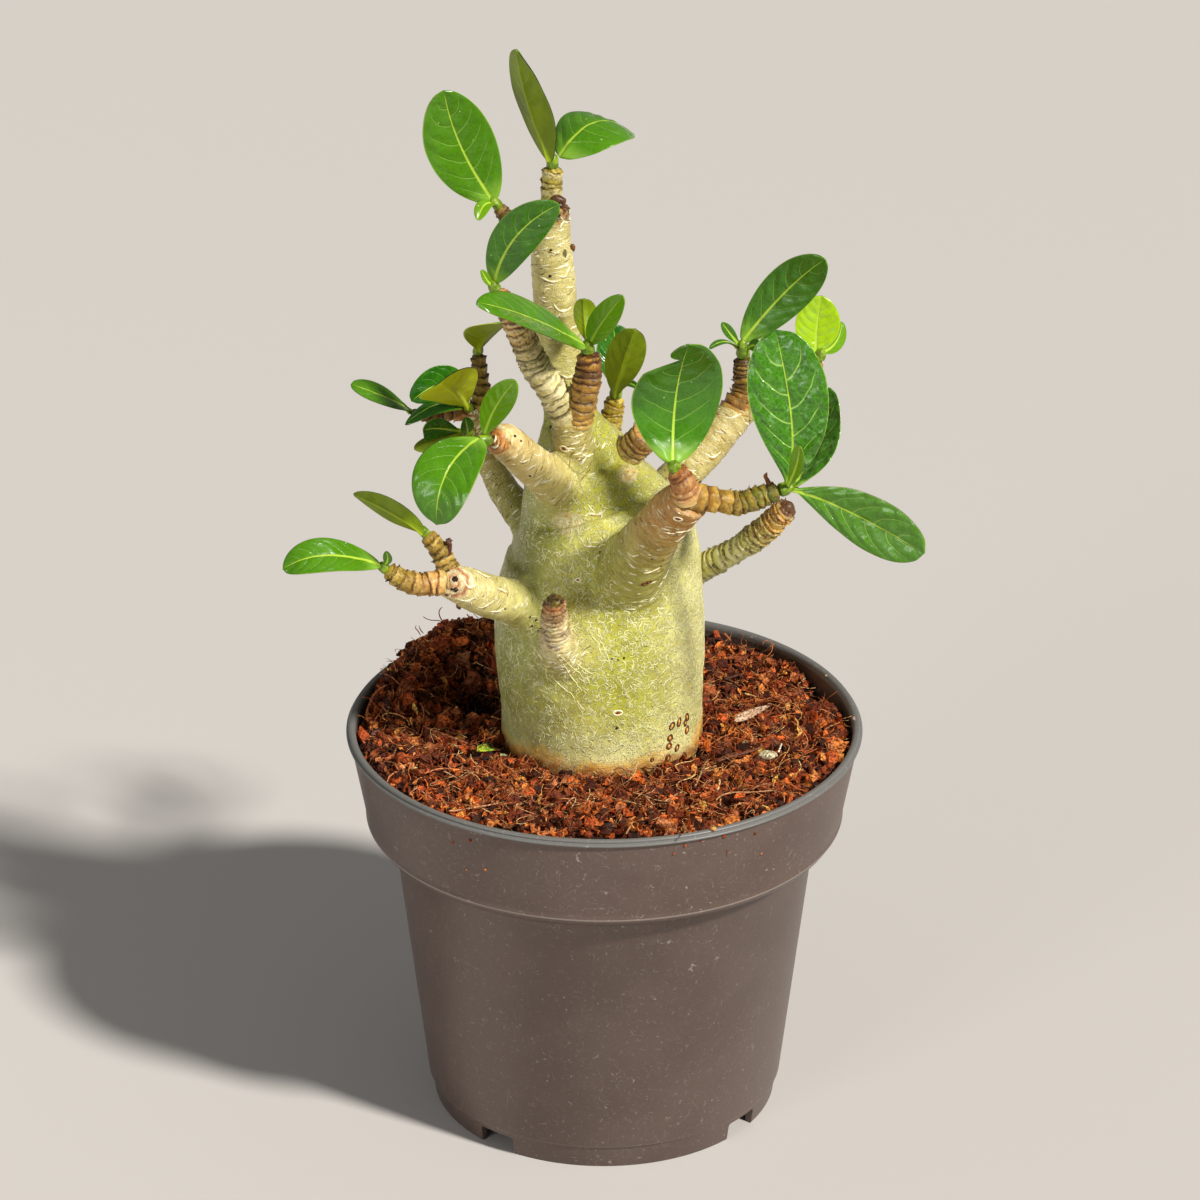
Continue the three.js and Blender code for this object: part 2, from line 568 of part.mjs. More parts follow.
// Blade: a folded strip of even thickness, its sections set across a curved midrib
function makeBlade({ base, mid, tip, width, roll, outline, fold = 10, leftEnd = 1 }) {
  const steps = width > smallLeafWidth ? leafSteps : smallLeafSteps;
  const start = new THREE.Vector3(...base);
  const end = new THREE.Vector3(...tip);
  const middle = new THREE.Vector3(...mid);
  const control = middle.multiplyScalar(2).addScaledVector(start, -0.5).addScaledVector(end, -0.5);
  const midrib = new THREE.QuadraticBezierCurve3(start, control, end);
  const chord = end.clone().sub(start).normalize();
  const upright = new THREE.Vector3(0, 0, 1).addScaledVector(chord, -chord.z).normalize();
  const face = upright.applyAxisAngle(chord, THREE.MathUtils.degToRad(roll));
  const lean = THREE.MathUtils.degToRad(fold);
  const rings = [];
  for (let i = 0; i <= steps; i++) {
    const t = (1 - Math.cos((Math.PI * i) / steps)) / 2;
    const centre = midrib.getPoint(t);
    const along = midrib.getTangent(t).normalize();
    const up = face.clone().addScaledVector(along, -face.dot(along)).normalize();
    const side = new THREE.Vector3().crossVectors(along, up);
    const least = t < 0.5 ? leastBaseWidth : leastTipWidth;
    const right = Math.max(width * halfWidth(t, outlines[outline]), least);
    const left = Math.max(width * halfWidth(Math.min(t / leftEnd, 1), outlines[outline]), least);
    const edge = (reach, sign, depth) => centre.clone()
      .addScaledVector(side, sign * reach * Math.cos(lean))
      .addScaledVector(up, reach * Math.sin(lean) - depth);
    rings.push([
      edge(left, -1, 0), edge(0, 1, 0), edge(right, 1, 0),
      edge(right, 1, bladeThickness), edge(0, 1, bladeThickness), edge(left, -1, bladeThickness),
    ]);
  }
  return skinRings(rings);
}

// Leaves of one shoot, joined at a short green growing tip just above the end of the wood
function makeShootLeaves({ tip, bud, leaves }) {
  const axis = woodyAxes.find((candidate) => candidate.name === tip);
  const path = smoothPath(axis.points);
  const end = path.getPoint(1);
  const along = path.getTangent(1).normalize();
  const [budRadius, budLength] = bud;
  const from = end.clone().addScaledVector(along, budGap);
  const to = end.clone().addScaledVector(along, budGap + budLength);
  const budPath = new THREE.LineCurve3(from, to);
  let cluster = toSolid(sweep(budPath, budStations, () => budRadius, budSides));
  for (const leaf of leaves) {
    cluster = cluster.add(toSolid(makeBlade(leaf)));
  }
  return toGeometry(cluster);
}

// Assembly
const group = new THREE.Group();

function addPiece(name, geometry, colour) {
  const mesh = new THREE.Mesh(geometry, new THREE.MeshStandardMaterial(colour));
  mesh.name = name;
  group.add(mesh);
}

addPiece('pot', makePot(), potColour);
addPiece('soil', makeSoil(), soilColour);
addPiece('caudex_and_branches', makeWoodyBody(), barkColour);
for (const shoot of shoots) {
  addPiece(shoot.name, makeShootLeaves(shoot), leafColours[shoot.colour]);
}

export default group;
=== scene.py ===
# Potted desert rose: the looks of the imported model. Sizes are in millimetres until a mesh is finished.
import math
import random

import bmesh
import bpy
import numpy as np
from mathutils import Matrix, Vector, noise
from mathutils.bvhtree import BVHTree


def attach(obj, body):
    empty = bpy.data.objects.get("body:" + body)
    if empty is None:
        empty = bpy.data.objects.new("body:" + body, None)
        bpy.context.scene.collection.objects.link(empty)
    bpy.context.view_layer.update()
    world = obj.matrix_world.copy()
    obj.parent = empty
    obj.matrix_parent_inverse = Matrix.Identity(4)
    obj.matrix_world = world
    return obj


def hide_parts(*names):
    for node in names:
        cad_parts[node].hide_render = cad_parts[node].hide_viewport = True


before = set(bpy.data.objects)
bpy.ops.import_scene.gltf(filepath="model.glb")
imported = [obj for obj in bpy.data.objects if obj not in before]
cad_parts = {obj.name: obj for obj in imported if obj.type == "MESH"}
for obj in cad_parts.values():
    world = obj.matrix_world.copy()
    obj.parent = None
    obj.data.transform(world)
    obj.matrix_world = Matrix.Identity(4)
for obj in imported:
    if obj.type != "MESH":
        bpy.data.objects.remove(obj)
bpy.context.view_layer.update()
scene = bpy.context.scene
mm = 0.001

# Camera and light; the eye looks at the aim, and image is the width of the photograph in pixels
view = {"eye": (-1.016, -1084.04, 641.7), "aim": (-1.016, 0, 127.05), "lens": 156.58, "sensor": 36, "image": 1200}
light = {
    "keyFrom": (0.76, -0.59, 0.86), "keyStrength": 4.75, "keySoftness": 6, "keyColour": (1, 0.965, 0.91),
    "fillFrom": (-800, -1000, 380), "fillTo": (0, 0, 130), "fillSize": 460, "fillPower": 4.4,
    "skyColour": (1, 0.985, 0.97, 1), "skyStrength": 0.2, "floor": (196, 192, 188),
}


def srgb(r, g, b):
    shares = [channel / 255 for channel in (r, g, b)]
    return np.array([c / 12.92 if c <= 0.04045 else ((c + 0.055) / 1.055) ** 2.4 for c in shares])


def setCamera():
    data = bpy.data.cameras.new("photoCamera")
    data.lens = view["lens"]
    data.sensor_width = view["sensor"]
    data.clip_start, data.clip_end = 0.05, 20
    camera = bpy.data.objects.new("photoCamera", data)
    camera.location = Vector(view["eye"]) * mm
    aim = Vector(view["aim"]) - Vector(view["eye"])
    camera.rotation_euler = aim.to_track_quat("-Z", "Y").to_euler()
    scene.collection.objects.link(camera)
    scene.camera = camera


def pixelRay(u, v):
    # start and direction, in millimetres, of the sight line through a pixel of the photograph
    forward = (Vector(view["aim"]) - Vector(view["eye"])).normalized()
    right = Vector((1, 0, 0))
    focal = view["lens"] / view["sensor"] * view["image"]
    across, down = (u - view["image"] / 2) / focal, (v - view["image"] / 2) / focal
    return Vector(view["eye"]), (forward + right * across - right.cross(forward) * down).normalized()


def atDepth(u, v, y):
    # point of the sight line through a pixel, in the upright plane at that depth
    start, direction = pixelRay(u, v)
    return start + direction * ((y - start.y) / direction.y)


def setLight():
    sun = bpy.data.lights.new("keyLight", "SUN")
    sun.energy = light["keyStrength"]
    sun.angle = math.radians(light["keySoftness"])
    sun.color = light["keyColour"]
    sunObject = bpy.data.objects.new("keyLight", sun)
    sunObject.rotation_euler = Vector(light["keyFrom"]).to_track_quat("Z", "Y").to_euler()
    scene.collection.objects.link(sunObject)
    fill = bpy.data.lights.new("fillLight", "AREA")
    fill.energy = light["fillPower"]
    fill.size = light["fillSize"] * mm
    fillObject = bpy.data.objects.new("fillLight", fill)
    fillObject.location = Vector(light["fillFrom"]) * mm
    aim = Vector(light["fillTo"]) - Vector(light["fillFrom"])
    fillObject.rotation_euler = aim.to_track_quat("-Z", "Y").to_euler()
    scene.collection.objects.link(fillObject)
    world = bpy.data.worlds.new("studio")
    world.use_nodes = True
    sky = world.node_tree.nodes["Background"].inputs
    sky["Color"].default_value = light["skyColour"]
    sky["Strength"].default_value = light["skyStrength"]
    scene.world = world
    scene.view_settings.view_transform = "Standard"


# Shader nodes
class Shade:
    # output of a node that can be added, multiplied and so on like a number
    def __init__(self, tree, socket):
        self.tree = tree
        self.socket = socket

    def calc(self, operation, *values):
        node = self.tree.nodes.new("ShaderNodeMath")
        node.operation = operation
        for socket, value in zip(node.inputs, values):
            feed(socket, value)
        return Shade(self.tree, node.outputs[0])

    def __add__(self, other):
        return self.calc("ADD", self, other)

    def __sub__(self, other):
        return self.calc("SUBTRACT", self, other)

    def __rsub__(self, other):
        return self.calc("SUBTRACT", other, self)

    def __mul__(self, other):
        return self.calc("MULTIPLY", self, other)

    def __truediv__(self, other):
        return self.calc("DIVIDE", self, other)

    def __pow__(self, other):
        return self.calc("POWER", self, other)

    def __abs__(self):
        return self.calc("ABSOLUTE", self)


def feed(socket, value):
    # a socket takes another node's output, a colour in steps of 255 or a number
    if isinstance(value, Shade):
        value.tree.links.new(value.socket, socket)
    elif socket.type == "RGBA":
        socket.default_value = (*srgb(*value), 1)
    else:
        socket.default_value = value


def most(first, second):
    return first.calc("MAXIMUM", first, second)


def fade(value, low, high):
    # 0 below low, 1 above high, smooth between
    node = value.tree.nodes.new("ShaderNodeMapRange")
    node.interpolation_type = "SMOOTHSTEP"
    feed(node.inputs["Value"], value)
    node.inputs["From Min"].default_value = low
    node.inputs["From Max"].default_value = high
    return Shade(value.tree, node.outputs["Result"])


def mix(share, first, second, mode="MIX"):
    tree = next(value.tree for value in (share, first, second) if isinstance(value, Shade))
    node = tree.nodes.new("ShaderNodeMix")
    node.data_type = "RGBA"
    node.blend_type = mode
    # the mix node keeps its factor and its two colours at these places
    for place, value in zip((0, 6, 7), (share, first, second)):
        feed(node.inputs[place], value)
    return Shade(tree, node.outputs[2])


def grain(place, scale, detail=2.0, rough=0.5, warp=0.0):
    node = place.tree.nodes.new("ShaderNodeTexNoise")
    feed(node.inputs["Vector"], place)
    for socket, value in (("Scale", scale), ("Detail", detail), ("Roughness", rough), ("Distortion", warp)):
        node.inputs[socket].default_value = value
    return Shade(place.tree, node.outputs[0])


def cells(place, scale, feature="F1"):
    node = place.tree.nodes.new("ShaderNodeTexVoronoi")
    node.feature = feature
    feed(node.inputs["Vector"], place)
    node.inputs["Scale"].default_value = scale
    return Shade(place.tree, node.outputs["Distance"])


def mapped(place, stretch, shift=(0, 0, 0)):
    node = place.tree.nodes.new("ShaderNodeMapping")
    node.inputs["Scale"].default_value = stretch
    node.inputs["Location"].default_value = shift
    feed(node.inputs["Vector"], place)
    return Shade(place.tree, node.outputs["Vector"])


def millimetres(tree, stretch=(1, 1, 1), shift=(0, 0, 0)):
    # object coordinates in millimetres, stretched along the axes
    source = tree.nodes.new("ShaderNodeTexCoord")
    return mapped(Shade(tree, source.outputs["Object"]), [s / mm for s in stretch], shift)


def attribute(tree, name, output="Color"):
    node = tree.nodes.new("ShaderNodeAttribute")
    node.attribute_name = name
    return Shade(tree, node.outputs[output])


def component(value, name, kind="XYZ"):
    node = value.tree.nodes.new("ShaderNodeSeparate" + kind)
    feed(node.inputs[0], value)
    return Shade(value.tree, node.outputs[name])


def lineOf(value, width):
    # thin lines where a grain crosses its middle value
    return 1 - fade(abs(value - 0.5), width * 0.4, width)


def newMaterial(name, constants):
    material = bpy.data.materials.new(name)
    material.use_nodes = True
    tree = material.node_tree
    shader = tree.nodes["Principled BSDF"]
    for socket, value in constants.items():
        shader.inputs[socket].default_value = value
    return material, tree, shader


def finishMaterial(shader, colour, roughness, height=None, depth=0.1):
    feed(shader.inputs["Base Color"], colour)
    feed(shader.inputs["Roughness"], roughness)
    if height is not None:
        bump = height.tree.nodes.new("ShaderNodeBump")
        bump.inputs["Strength"].default_value = 1
        bump.inputs["Distance"].default_value = depth * mm
        feed(bump.inputs["Height"], height)
        height.tree.links.new(bump.outputs["Normal"], shader.inputs["Normal"])


# Meshes
def newObject(name, bm, materials, bodySlot=None, nodes=(), smooth=True):
    # finished piece: millimetres become metres, and it rides on the one body
    bmesh.ops.scale(bm, vec=(mm, mm, mm), verts=bm.verts)
    mesh = bpy.data.meshes.new(name)
    bm.to_mesh(mesh)
    bm.free()
    obj = bpy.data.objects.new(name, mesh)
    scene.collection.objects.link(obj)
    for material in materials:
        mesh.materials.append(material)
    mesh.shade_smooth() if smooth else mesh.shade_flat()
    return declare(obj, bodySlot, nodes)


def paintedObject(name, verts, faces, colours, share, material, smooth):
    # object from plain lists, with a colour and one more share for each vertex
    mesh = bpy.data.meshes.new(name)
    mesh.from_pydata((np.array(verts) * mm).tolist(), [], faces)
    layer = mesh.attributes.new("paint", "FLOAT_COLOR", "POINT")
    layer.data.foreach_set("color", np.column_stack([colours, np.full(len(verts), share)]).ravel())
    mesh.materials.append(material)
    mesh.shade_smooth() if smooth else mesh.shade_flat()
    obj = bpy.data.objects.new(name, mesh)
    scene.collection.objects.link(obj)
    return obj


def declare(obj, bodySlot, nodes=()):
    if bodySlot:
        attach(obj, "root")
    if nodes:
        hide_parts(*nodes)
    return obj


def joined(name, parts):
    with bpy.context.temp_override(active_object=parts[0], selected_editable_objects=parts):
        bpy.ops.object.join()
    parts[0].name = name
    parts[0].data.name = name
    return parts[0]


def evaluated(obj):
    # applies the modifiers of an object to its mesh
    depsgraph = bpy.context.evaluated_depsgraph_get()
    mesh = bpy.data.meshes.new_from_object(obj.evaluated_get(depsgraph))
    obj.modifiers.clear()
    obj.data = mesh
    return obj


def lathe(outline, steps):
    # closed solid from an outline of radius and height that starts and ends on the axis
    bm = bmesh.new()
    verts = [bm.verts.new((radius, 0, height)) for radius, height in outline]
    edges = [bm.edges.new(pair) for pair in zip(verts, verts[1:])]
    bmesh.ops.spin(bm, geom=verts + edges, cent=(0, 0, 0), axis=(0, 0, 1), angle=math.tau, steps=steps,
                   use_merge=True)
    bmesh.ops.remove_doubles(bm, verts=bm.verts, dist=1e-4)
    bmesh.ops.recalc_face_normals(bm, faces=bm.faces)
    return bm


def vertsOf(bm):
    return np.array([vert.co[:] for vert in bm.verts])


def flatGrid(around, along):
    # grid that is wrapped into a tube: turn and share run from 0 to 1 over its vertices
    bm = bmesh.new()
    bmesh.ops.create_grid(bm, x_segments=around, y_segments=along, size=0.5)
    places = vertsOf(bm)
    return bm, places[:, 0] + 0.5, places[:, 1] + 0.5


def wrapGrid(bm, places):
    for vert, place in zip(bm.verts, places):
        vert.co = place
    bmesh.ops.remove_doubles(bm, verts=bm.verts, dist=2e-3)
    bmesh.ops.recalc_face_normals(bm, faces=bm.faces)


def paintVerts(bm, colours, layerName="paint"):
    # colours hold red, green, blue and one more share for each vertex
    layer = bm.verts.layers.float_color.new(layerName)
    for vert, colour in zip(bm.verts, colours):
        vert[layer] = colour


def grainOf(places, size, shift=0.0):
    # smooth noise from -1 to 1 at points, with features of that size
    return np.array([noise.noise(Vector(p) / size + Vector((shift, shift * 0.7, -shift))) for p in places])


def smoothStep(low, high, value):
    t = np.clip((value - low) / (high - low), 0, 1)
    return t * t * (3 - 2 * t)


def blend(first, second, share):
    # rows of colour, or one colour, mixed by a share for each row
    return first * (1 - share[:, None]) + second * share[:, None]


# Smooth path through points with a radius, and a frame carried along it without twist
def layPath(points, count=200):
    knots = [np.array(p, float) for p in points]
    knots = [knots[0] * 2 - knots[1]] + knots + [knots[-1] * 2 - knots[-2]]
    rows = []
    for i in range(count + 1):
        place = i / count * (len(points) - 1)
        k = min(int(place), len(points) - 2)
        w = place - k
        a, b, c, d = knots[k:k + 4]
        gaps = [max(np.linalg.norm((q - p)[:3]) ** 0.5, 1e-4) for p, q in ((a, b), (b, c), (c, d))]
        into = ((b - a) / gaps[0] - (c - a) / (gaps[0] + gaps[1]) + (c - b) / gaps[1]) * gaps[1]
        out = ((c - b) / gaps[1] - (d - b) / (gaps[1] + gaps[2]) + (d - c) / gaps[2]) * gaps[1]
        rows.append(b * (2 * w**3 - 3 * w**2 + 1) + into * (w**3 - 2 * w**2 + w)
                    + c * (3 * w**2 - 2 * w**3) + out * (w**3 - w**2))
    rows = np.array(rows)
    steps = np.linalg.norm(np.diff(rows[:, :3], axis=0), axis=1)
    along = np.gradient(rows[:, :3], axis=0)
    along /= np.linalg.norm(along, axis=1)[:, None]
    helper = np.array([1.0, 0, 0]) if abs(along[0][2]) > 0.9 else np.array([0, 0, 1.0])
    across = np.empty_like(along)
    carried = np.cross(helper, along[0])
    for i, direction in enumerate(along):
        carried = carried - direction * carried.dot(direction)
        carried = carried / np.linalg.norm(carried)
        across[i] = carried
    return {"centre": rows[:, :3], "radius": rows[:, 3], "s": np.concatenate([[0], np.cumsum(steps)]),
            "along": along, "across": across, "other": np.cross(along, across)}


def pathAt(path, s):
    # centre, directions and radius at distances along a path
    found = {"radius": np.interp(s, path["s"], path["radius"])}
    for key in ("centre", "across", "other", "along"):
        found[key] = np.stack([np.interp(s, path["s"], path[key][:, i]) for i in range(3)], axis=1)
    return found


def spotOf(path, s):
    # the same at one distance, as vectors
    return {key: Vector(rows[0]) if rows.ndim > 1 else float(rows[0])
            for key, rows in pathAt(path, np.array([s])).items()}


def tubePlaces(found, turn, radius):
    angle = turn * math.tau
    return (found["centre"] + found["across"] * (radius * np.cos(angle))[:, None]
            + found["other"] * (radius * np.sin(angle))[:, None])


def tubeAlong(points, around, step):
    # closed smooth tube with rounded ends
    path = layPath(points)
    length = path["s"][-1]
    bm, turn, share = flatGrid(around, max(6, round(length / step)))
    found = pathAt(path, share * length)
    ends = np.sqrt(np.clip(np.minimum(share, 1 - share) * length / 0.8, 0, 1))
    wrapGrid(bm, tubePlaces(found, turn, found["radius"] * ends))
    return bm


setCamera()
setLight()
print("camera and light set")

# Pot
pot = {
    "steps": 240, "edgeRound": 0.25,
    "notchAngles": (-128, -38, 52, 142), "notch": (9.5, 8, 8.8), "notchRadius": 40.6, "notchRound": 0.8,
    "drains": 6, "drainRadius": 3.5, "drainCircle": 26, "centreDrain": 5, "drainHeight": 4.6, "drainSides": 32,
    "colour": (87, 70, 62), "light": (94, 77, 69), "shade": (60, 55, 52), "rimHighlight": (108, 107, 104),
    "edgeHighlight": (160, 148, 138), "highlitEdges": ((73.45, 73.8), (5.75, 6.0)), "dust": (196, 186, 176),
}
# radius and height of the inside from the floor to the rim, then over the rim and down the outside
potOutline = [
    (0, 5.8), (39.5, 5.8), (40.7, 7.2), (48.1, 70.7), (53.15, 72.8), (54.4, 76.2), (57.6, 92.8),
    (57.7, 93.9), (57.75, 94.9), (57.95, 95.6), (58.35, 95.92), (58.85, 95.98), (59.25, 95.9),
    (59.45, 95.65), (59.42, 95.38), (59.3, 95.22), (59.5, 95.1), (59.88, 94.98), (60, 94.75), (59.92, 94.5),
    (59.6, 94.36), (59.2, 94.28), (59.02, 94.0), (58.95, 93.2), (58.55, 90.5), (55.75, 75.2), (55.7, 74.2),
    (55.82, 73.9), (55.76, 73.5), (55.3, 72.8), (54.5, 71.7),
    (50.6, 70.3), (50.0, 69.9), (49.4, 69.2), (42.0, 6.0), (41.4, 5.85), (40.6, 0.3), (40.4, 0),
    (39.1, 0), (39.0, 0.3), (39.0, 4.3), (0, 4.3),
]


def potPlastic():
    material, tree, shader = newMaterial("potPlastic", {"Specular IOR Level": 0.45})
    place = millimetres(tree)
    cloud = grain(place, 0.045, 4, 0.6)
    colour = mix(fade(cloud, 0.38, 0.62), pot["colour"], pot["light"])
    colour = mix(fade(grain(place, 1.6, 2, 0.6), 0.35, 0.75) * 0.2, colour, pot["shade"])
    high = component(place, "Z")
    # painted highlight: the top of the rim is a lighter, cooler grey where light falls on it
    colour = mix(fade(high, 94.1, 94.3), colour, pot["rimHighlight"])
    # painted highlights: thin pale lines along the edges of the collar and of the foot, where light catches them
    for low, top in pot["highlitEdges"]:
        edge = fade(high, low - 0.12, low) * (1 - fade(high, top, top + 0.12))
        colour = mix(edge * 0.5, colour, pot["edgeHighlight"])
    # short pale scratches and worn lines
    long = lineOf(grain(place, 0.22, 1, 0.5, 1.4), 0.006) * fade(grain(place, 0.5, 1), 0.5, 0.62)
    short = lineOf(grain(millimetres(tree, shift=(40, 7, 3)), 0.6, 1, 0.5, 0.8), 0.008)
    scratch = most(long, short * fade(grain(place, 0.7, 1), 0.52, 0.62))
    # dust specks of two sizes
    speck = (1 - fade(cells(place, 0.42), 0.03, 0.085)) * fade(grain(place, 0.12, 2), 0.5, 0.6)
    crumb = 1 - fade(cells(millimetres(tree, shift=(3, 9, 5)), 0.16), 0.02, 0.05)
    colour = mix(most(scratch, most(speck, crumb)) * 0.36, colour, pot["dust"])
    finishMaterial(shader, colour, cloud * 0.12 + 0.34, grain(place, 0.9, 3, 0.6) + scratch * 0.5, 0.04)
    return material


def notchCutter(degrees):
    bm = bmesh.new()
    bmesh.ops.create_cube(bm, size=1)
    bmesh.ops.scale(bm, vec=pot["notch"], verts=bm.verts)
    # the edges that run in and out through the foot ring are rounded
    inward = [e for e in bm.edges if max(abs((e.verts[0].co - e.verts[1].co)[axis]) for axis in (0, 2)) < 0.01]
    bmesh.ops.bevel(bm, geom=inward, offset=pot["notchRound"], offset_type="OFFSET", affect="EDGES", segments=3,
                    profile=0.5, material=-1)
    bmesh.ops.translate(bm, vec=(0, -pot["notchRadius"], 0), verts=bm.verts)
    turn = Matrix.Rotation(math.radians(degrees), 3, "Z")
    bmesh.ops.rotate(bm, cent=(0, 0, 0), matrix=turn, verts=bm.verts)
    return newObject("notchCutter", bm, [])


def drainCutter(x, y, radius):
    bm = bmesh.new()
    bmesh.ops.create_cone(bm, cap_ends=True, segments=pot["drainSides"], radius1=radius, radius2=radius, depth=6)
    bmesh.ops.translate(bm, vec=(x, y, pot["drainHeight"]), verts=bm.verts)
    return newObject("drainCutter", bm, [])


def makePot():
    obj = newObject("nursery_pot", lathe(potOutline, pot["steps"]), [potPlastic()])
    cutters = [notchCutter(degrees) for degrees in pot["notchAngles"]] + [drainCutter(0, 0, pot["centreDrain"])]
    for i in range(pot["drains"]):
        turn = math.tau * i / pot["drains"]
        cutters.append(drainCutter(pot["drainCircle"] * math.cos(turn), pot["drainCircle"] * math.sin(turn),
                                   pot["drainRadius"]))
    for cutter in cutters:
        cut = obj.modifiers.new("cut", "BOOLEAN")
        cut.object = cutter
        cut.operation = "DIFFERENCE"
        cut.solver = "EXACT"
    evaluated(obj)
    for cutter in cutters:
        bpy.data.objects.remove(cutter, do_unlink=True)
    soften = obj.modifiers.new("edges", "BEVEL")
    soften.width = pot["edgeRound"] * mm
    soften.segments = 2
    soften.limit_method = "ANGLE"
    soften.angle_limit = math.radians(50)
    evaluated(obj)
    obj.data.shade_smooth()
    return declare(obj, "pot_plastic", ["pot"])


potObject = makePot()
print("pot made", len(potObject.data.polygons), "faces")

# Woody frame of the plant: points are x, y, z and radius from inside the parent to the tip
caudexPoints = [
    (-0.6, 0, 63, 5), (-0.6, 0, 67, 12), (-0.6, 0, 75, 19), (-0.6, 0, 83, 22.3), (-0.6, 0, 89, 23.4),
    (-0.6, 0, 102, 23.4), (-1.1, 0, 114, 24.1), (-1, 0, 127, 23.9), (-0.4, 0, 134.5, 23),
    (-0.4, 0, 141, 21.8), (-1.7, 0, 147.3, 19.4), (-3.1, 1, 151.8, 16.9), (-4.4, 1, 156.8, 14.6),
    (-5.2, 2, 161.3, 12), (-6.9, 1, 168, 8.4), (-8.2, 1, 173, 6),
]
barkAxes = {
    "leader": {"strokes": 3, "tone": (212, 206, 124), "end": (230, 216, 144), "lines": 0.35, "points": [
        (-5.3, 3, 159, 9), (-8, 4, 172.9, 6), (-10.5, 5, 190.6, 5.3), (-11.4, 5, 204, 4.9),
        (-12, 5, 213, 4.6), (-11.9, 5, 220, 4.4), (-11.8, 5, 222.6, 3.9)]},
    "frontNeck": {"tone": (196, 190, 106), "end": (196, 180, 102), "lines": 0.4, "points": [
        (-5.5, -4, 158, 6.5), (-7, -7.5, 168, 4.9), (-7.4, -9, 178, 4.3)]},
    "leftStub": {"strokes": 3, "tone": (226, 212, 134), "end": (248, 222, 156), "lines": 0.2, "points": [
        (-5, -4, 153, 8), (-10, -10, 160, 5.6), (-17.1, -17, 169.3, 4.4), (-22.1, -23, 177, 4),
        (-24.3, -25, 178.9, 3.4)]},
    "leftStubTip": {"tone": (214, 150, 76), "end": (150, 88, 30), "lines": 0, "points": [
        (-23.3, -25, 178.1, 2.7), (-25.6, -26.8, 178.9, 2.1)]},
    "backLeftBranch": {"tone": (178, 176, 88), "end": (206, 186, 110), "lines": 0.5, "points": [
        (-9, 4, 128, 8), (-17.1, 10, 141.4, 4.6), (-22.9, 14, 148, 3.7), (-26.8, 16, 155.7, 3.2),
        (-28.8, 17, 162.8, 3), (-29, 17, 168, 2.5)]},
    "knot": {"tone": (222, 180, 118), "end": (168, 102, 44), "lines": 0, "points": [
        (-29, 17, 165.5, 2.4), (-30.9, 14.9, 168.4, 1.6)]},
    "shadedShoot": {"tone": (150, 136, 80), "end": (120, 92, 46), "lines": 0, "points": [
        (-28.4, 16, 160, 2.1), (-30.6, 12.8, 162.8, 1.5)]},
    "lowerLeftBranch": {"strokes": 3, "tone": (204, 206, 116), "end": (240, 226, 160), "lines": 0.35, "points": [
        (-7, -4, 124, 10), (-15.8, -12, 130.2, 6.1), (-22.5, -19, 136.1, 5), (-25.8, -22, 138.4, 4.8),
        (-30.2, -25, 141.7, 4.6), (-33.5, -27, 144.1, 4.1), (-36.8, -28.8, 145.6, 3.1)]},
    "frontBranch": {"strokes": 2.5, "turn": 0.5, "tone": (186, 184, 88), "end": (194, 138, 66), "lines": 0.3,
                    "points": [
        (1, -3, 127, 13), (4, -12, 136.5, 9.4), (7, -22, 147, 7.5), (11.2, -31, 158.2, 5.9),
        (15.5, -37, 166.6, 5.4), (19.1, -41, 171.6, 4.9)]},
    "stubFoot": {"tone": (214, 206, 120), "end": (240, 226, 170), "lines": 0.4, "points": [
        (-7, -16, 118, 6.5), (-9.4, -21, 124.5, 4.9), (-10.7, -24, 128.6, 3.7), (-11.2, -25.6, 131.2, 2.2)]},
    "backRightBranch": {"strokes": 3, "tone": (206, 198, 118), "end": (214, 194, 126), "lines": 0.3, "points": [
        (0, 4, 138, 10), (5.9, 8, 143.1, 6.6), (10.5, 12, 145.8, 5.2), (19.8, 18, 153, 4.7),
        (27.2, 23, 159.6, 4.4), (31.2, 26, 163.5, 4.2)]},
    "farTwig": {"tone": (206, 196, 140), "end": (176, 120, 62), "lines": 0, "points": [
        (29.8, 25, 161.8, 3.7), (37.2, 27, 166, 3), (44.1, 28, 169.6, 2.3), (48.5, 28, 172.8, 1.9),
        (49.4, 28, 175.4, 1.7)]},
}
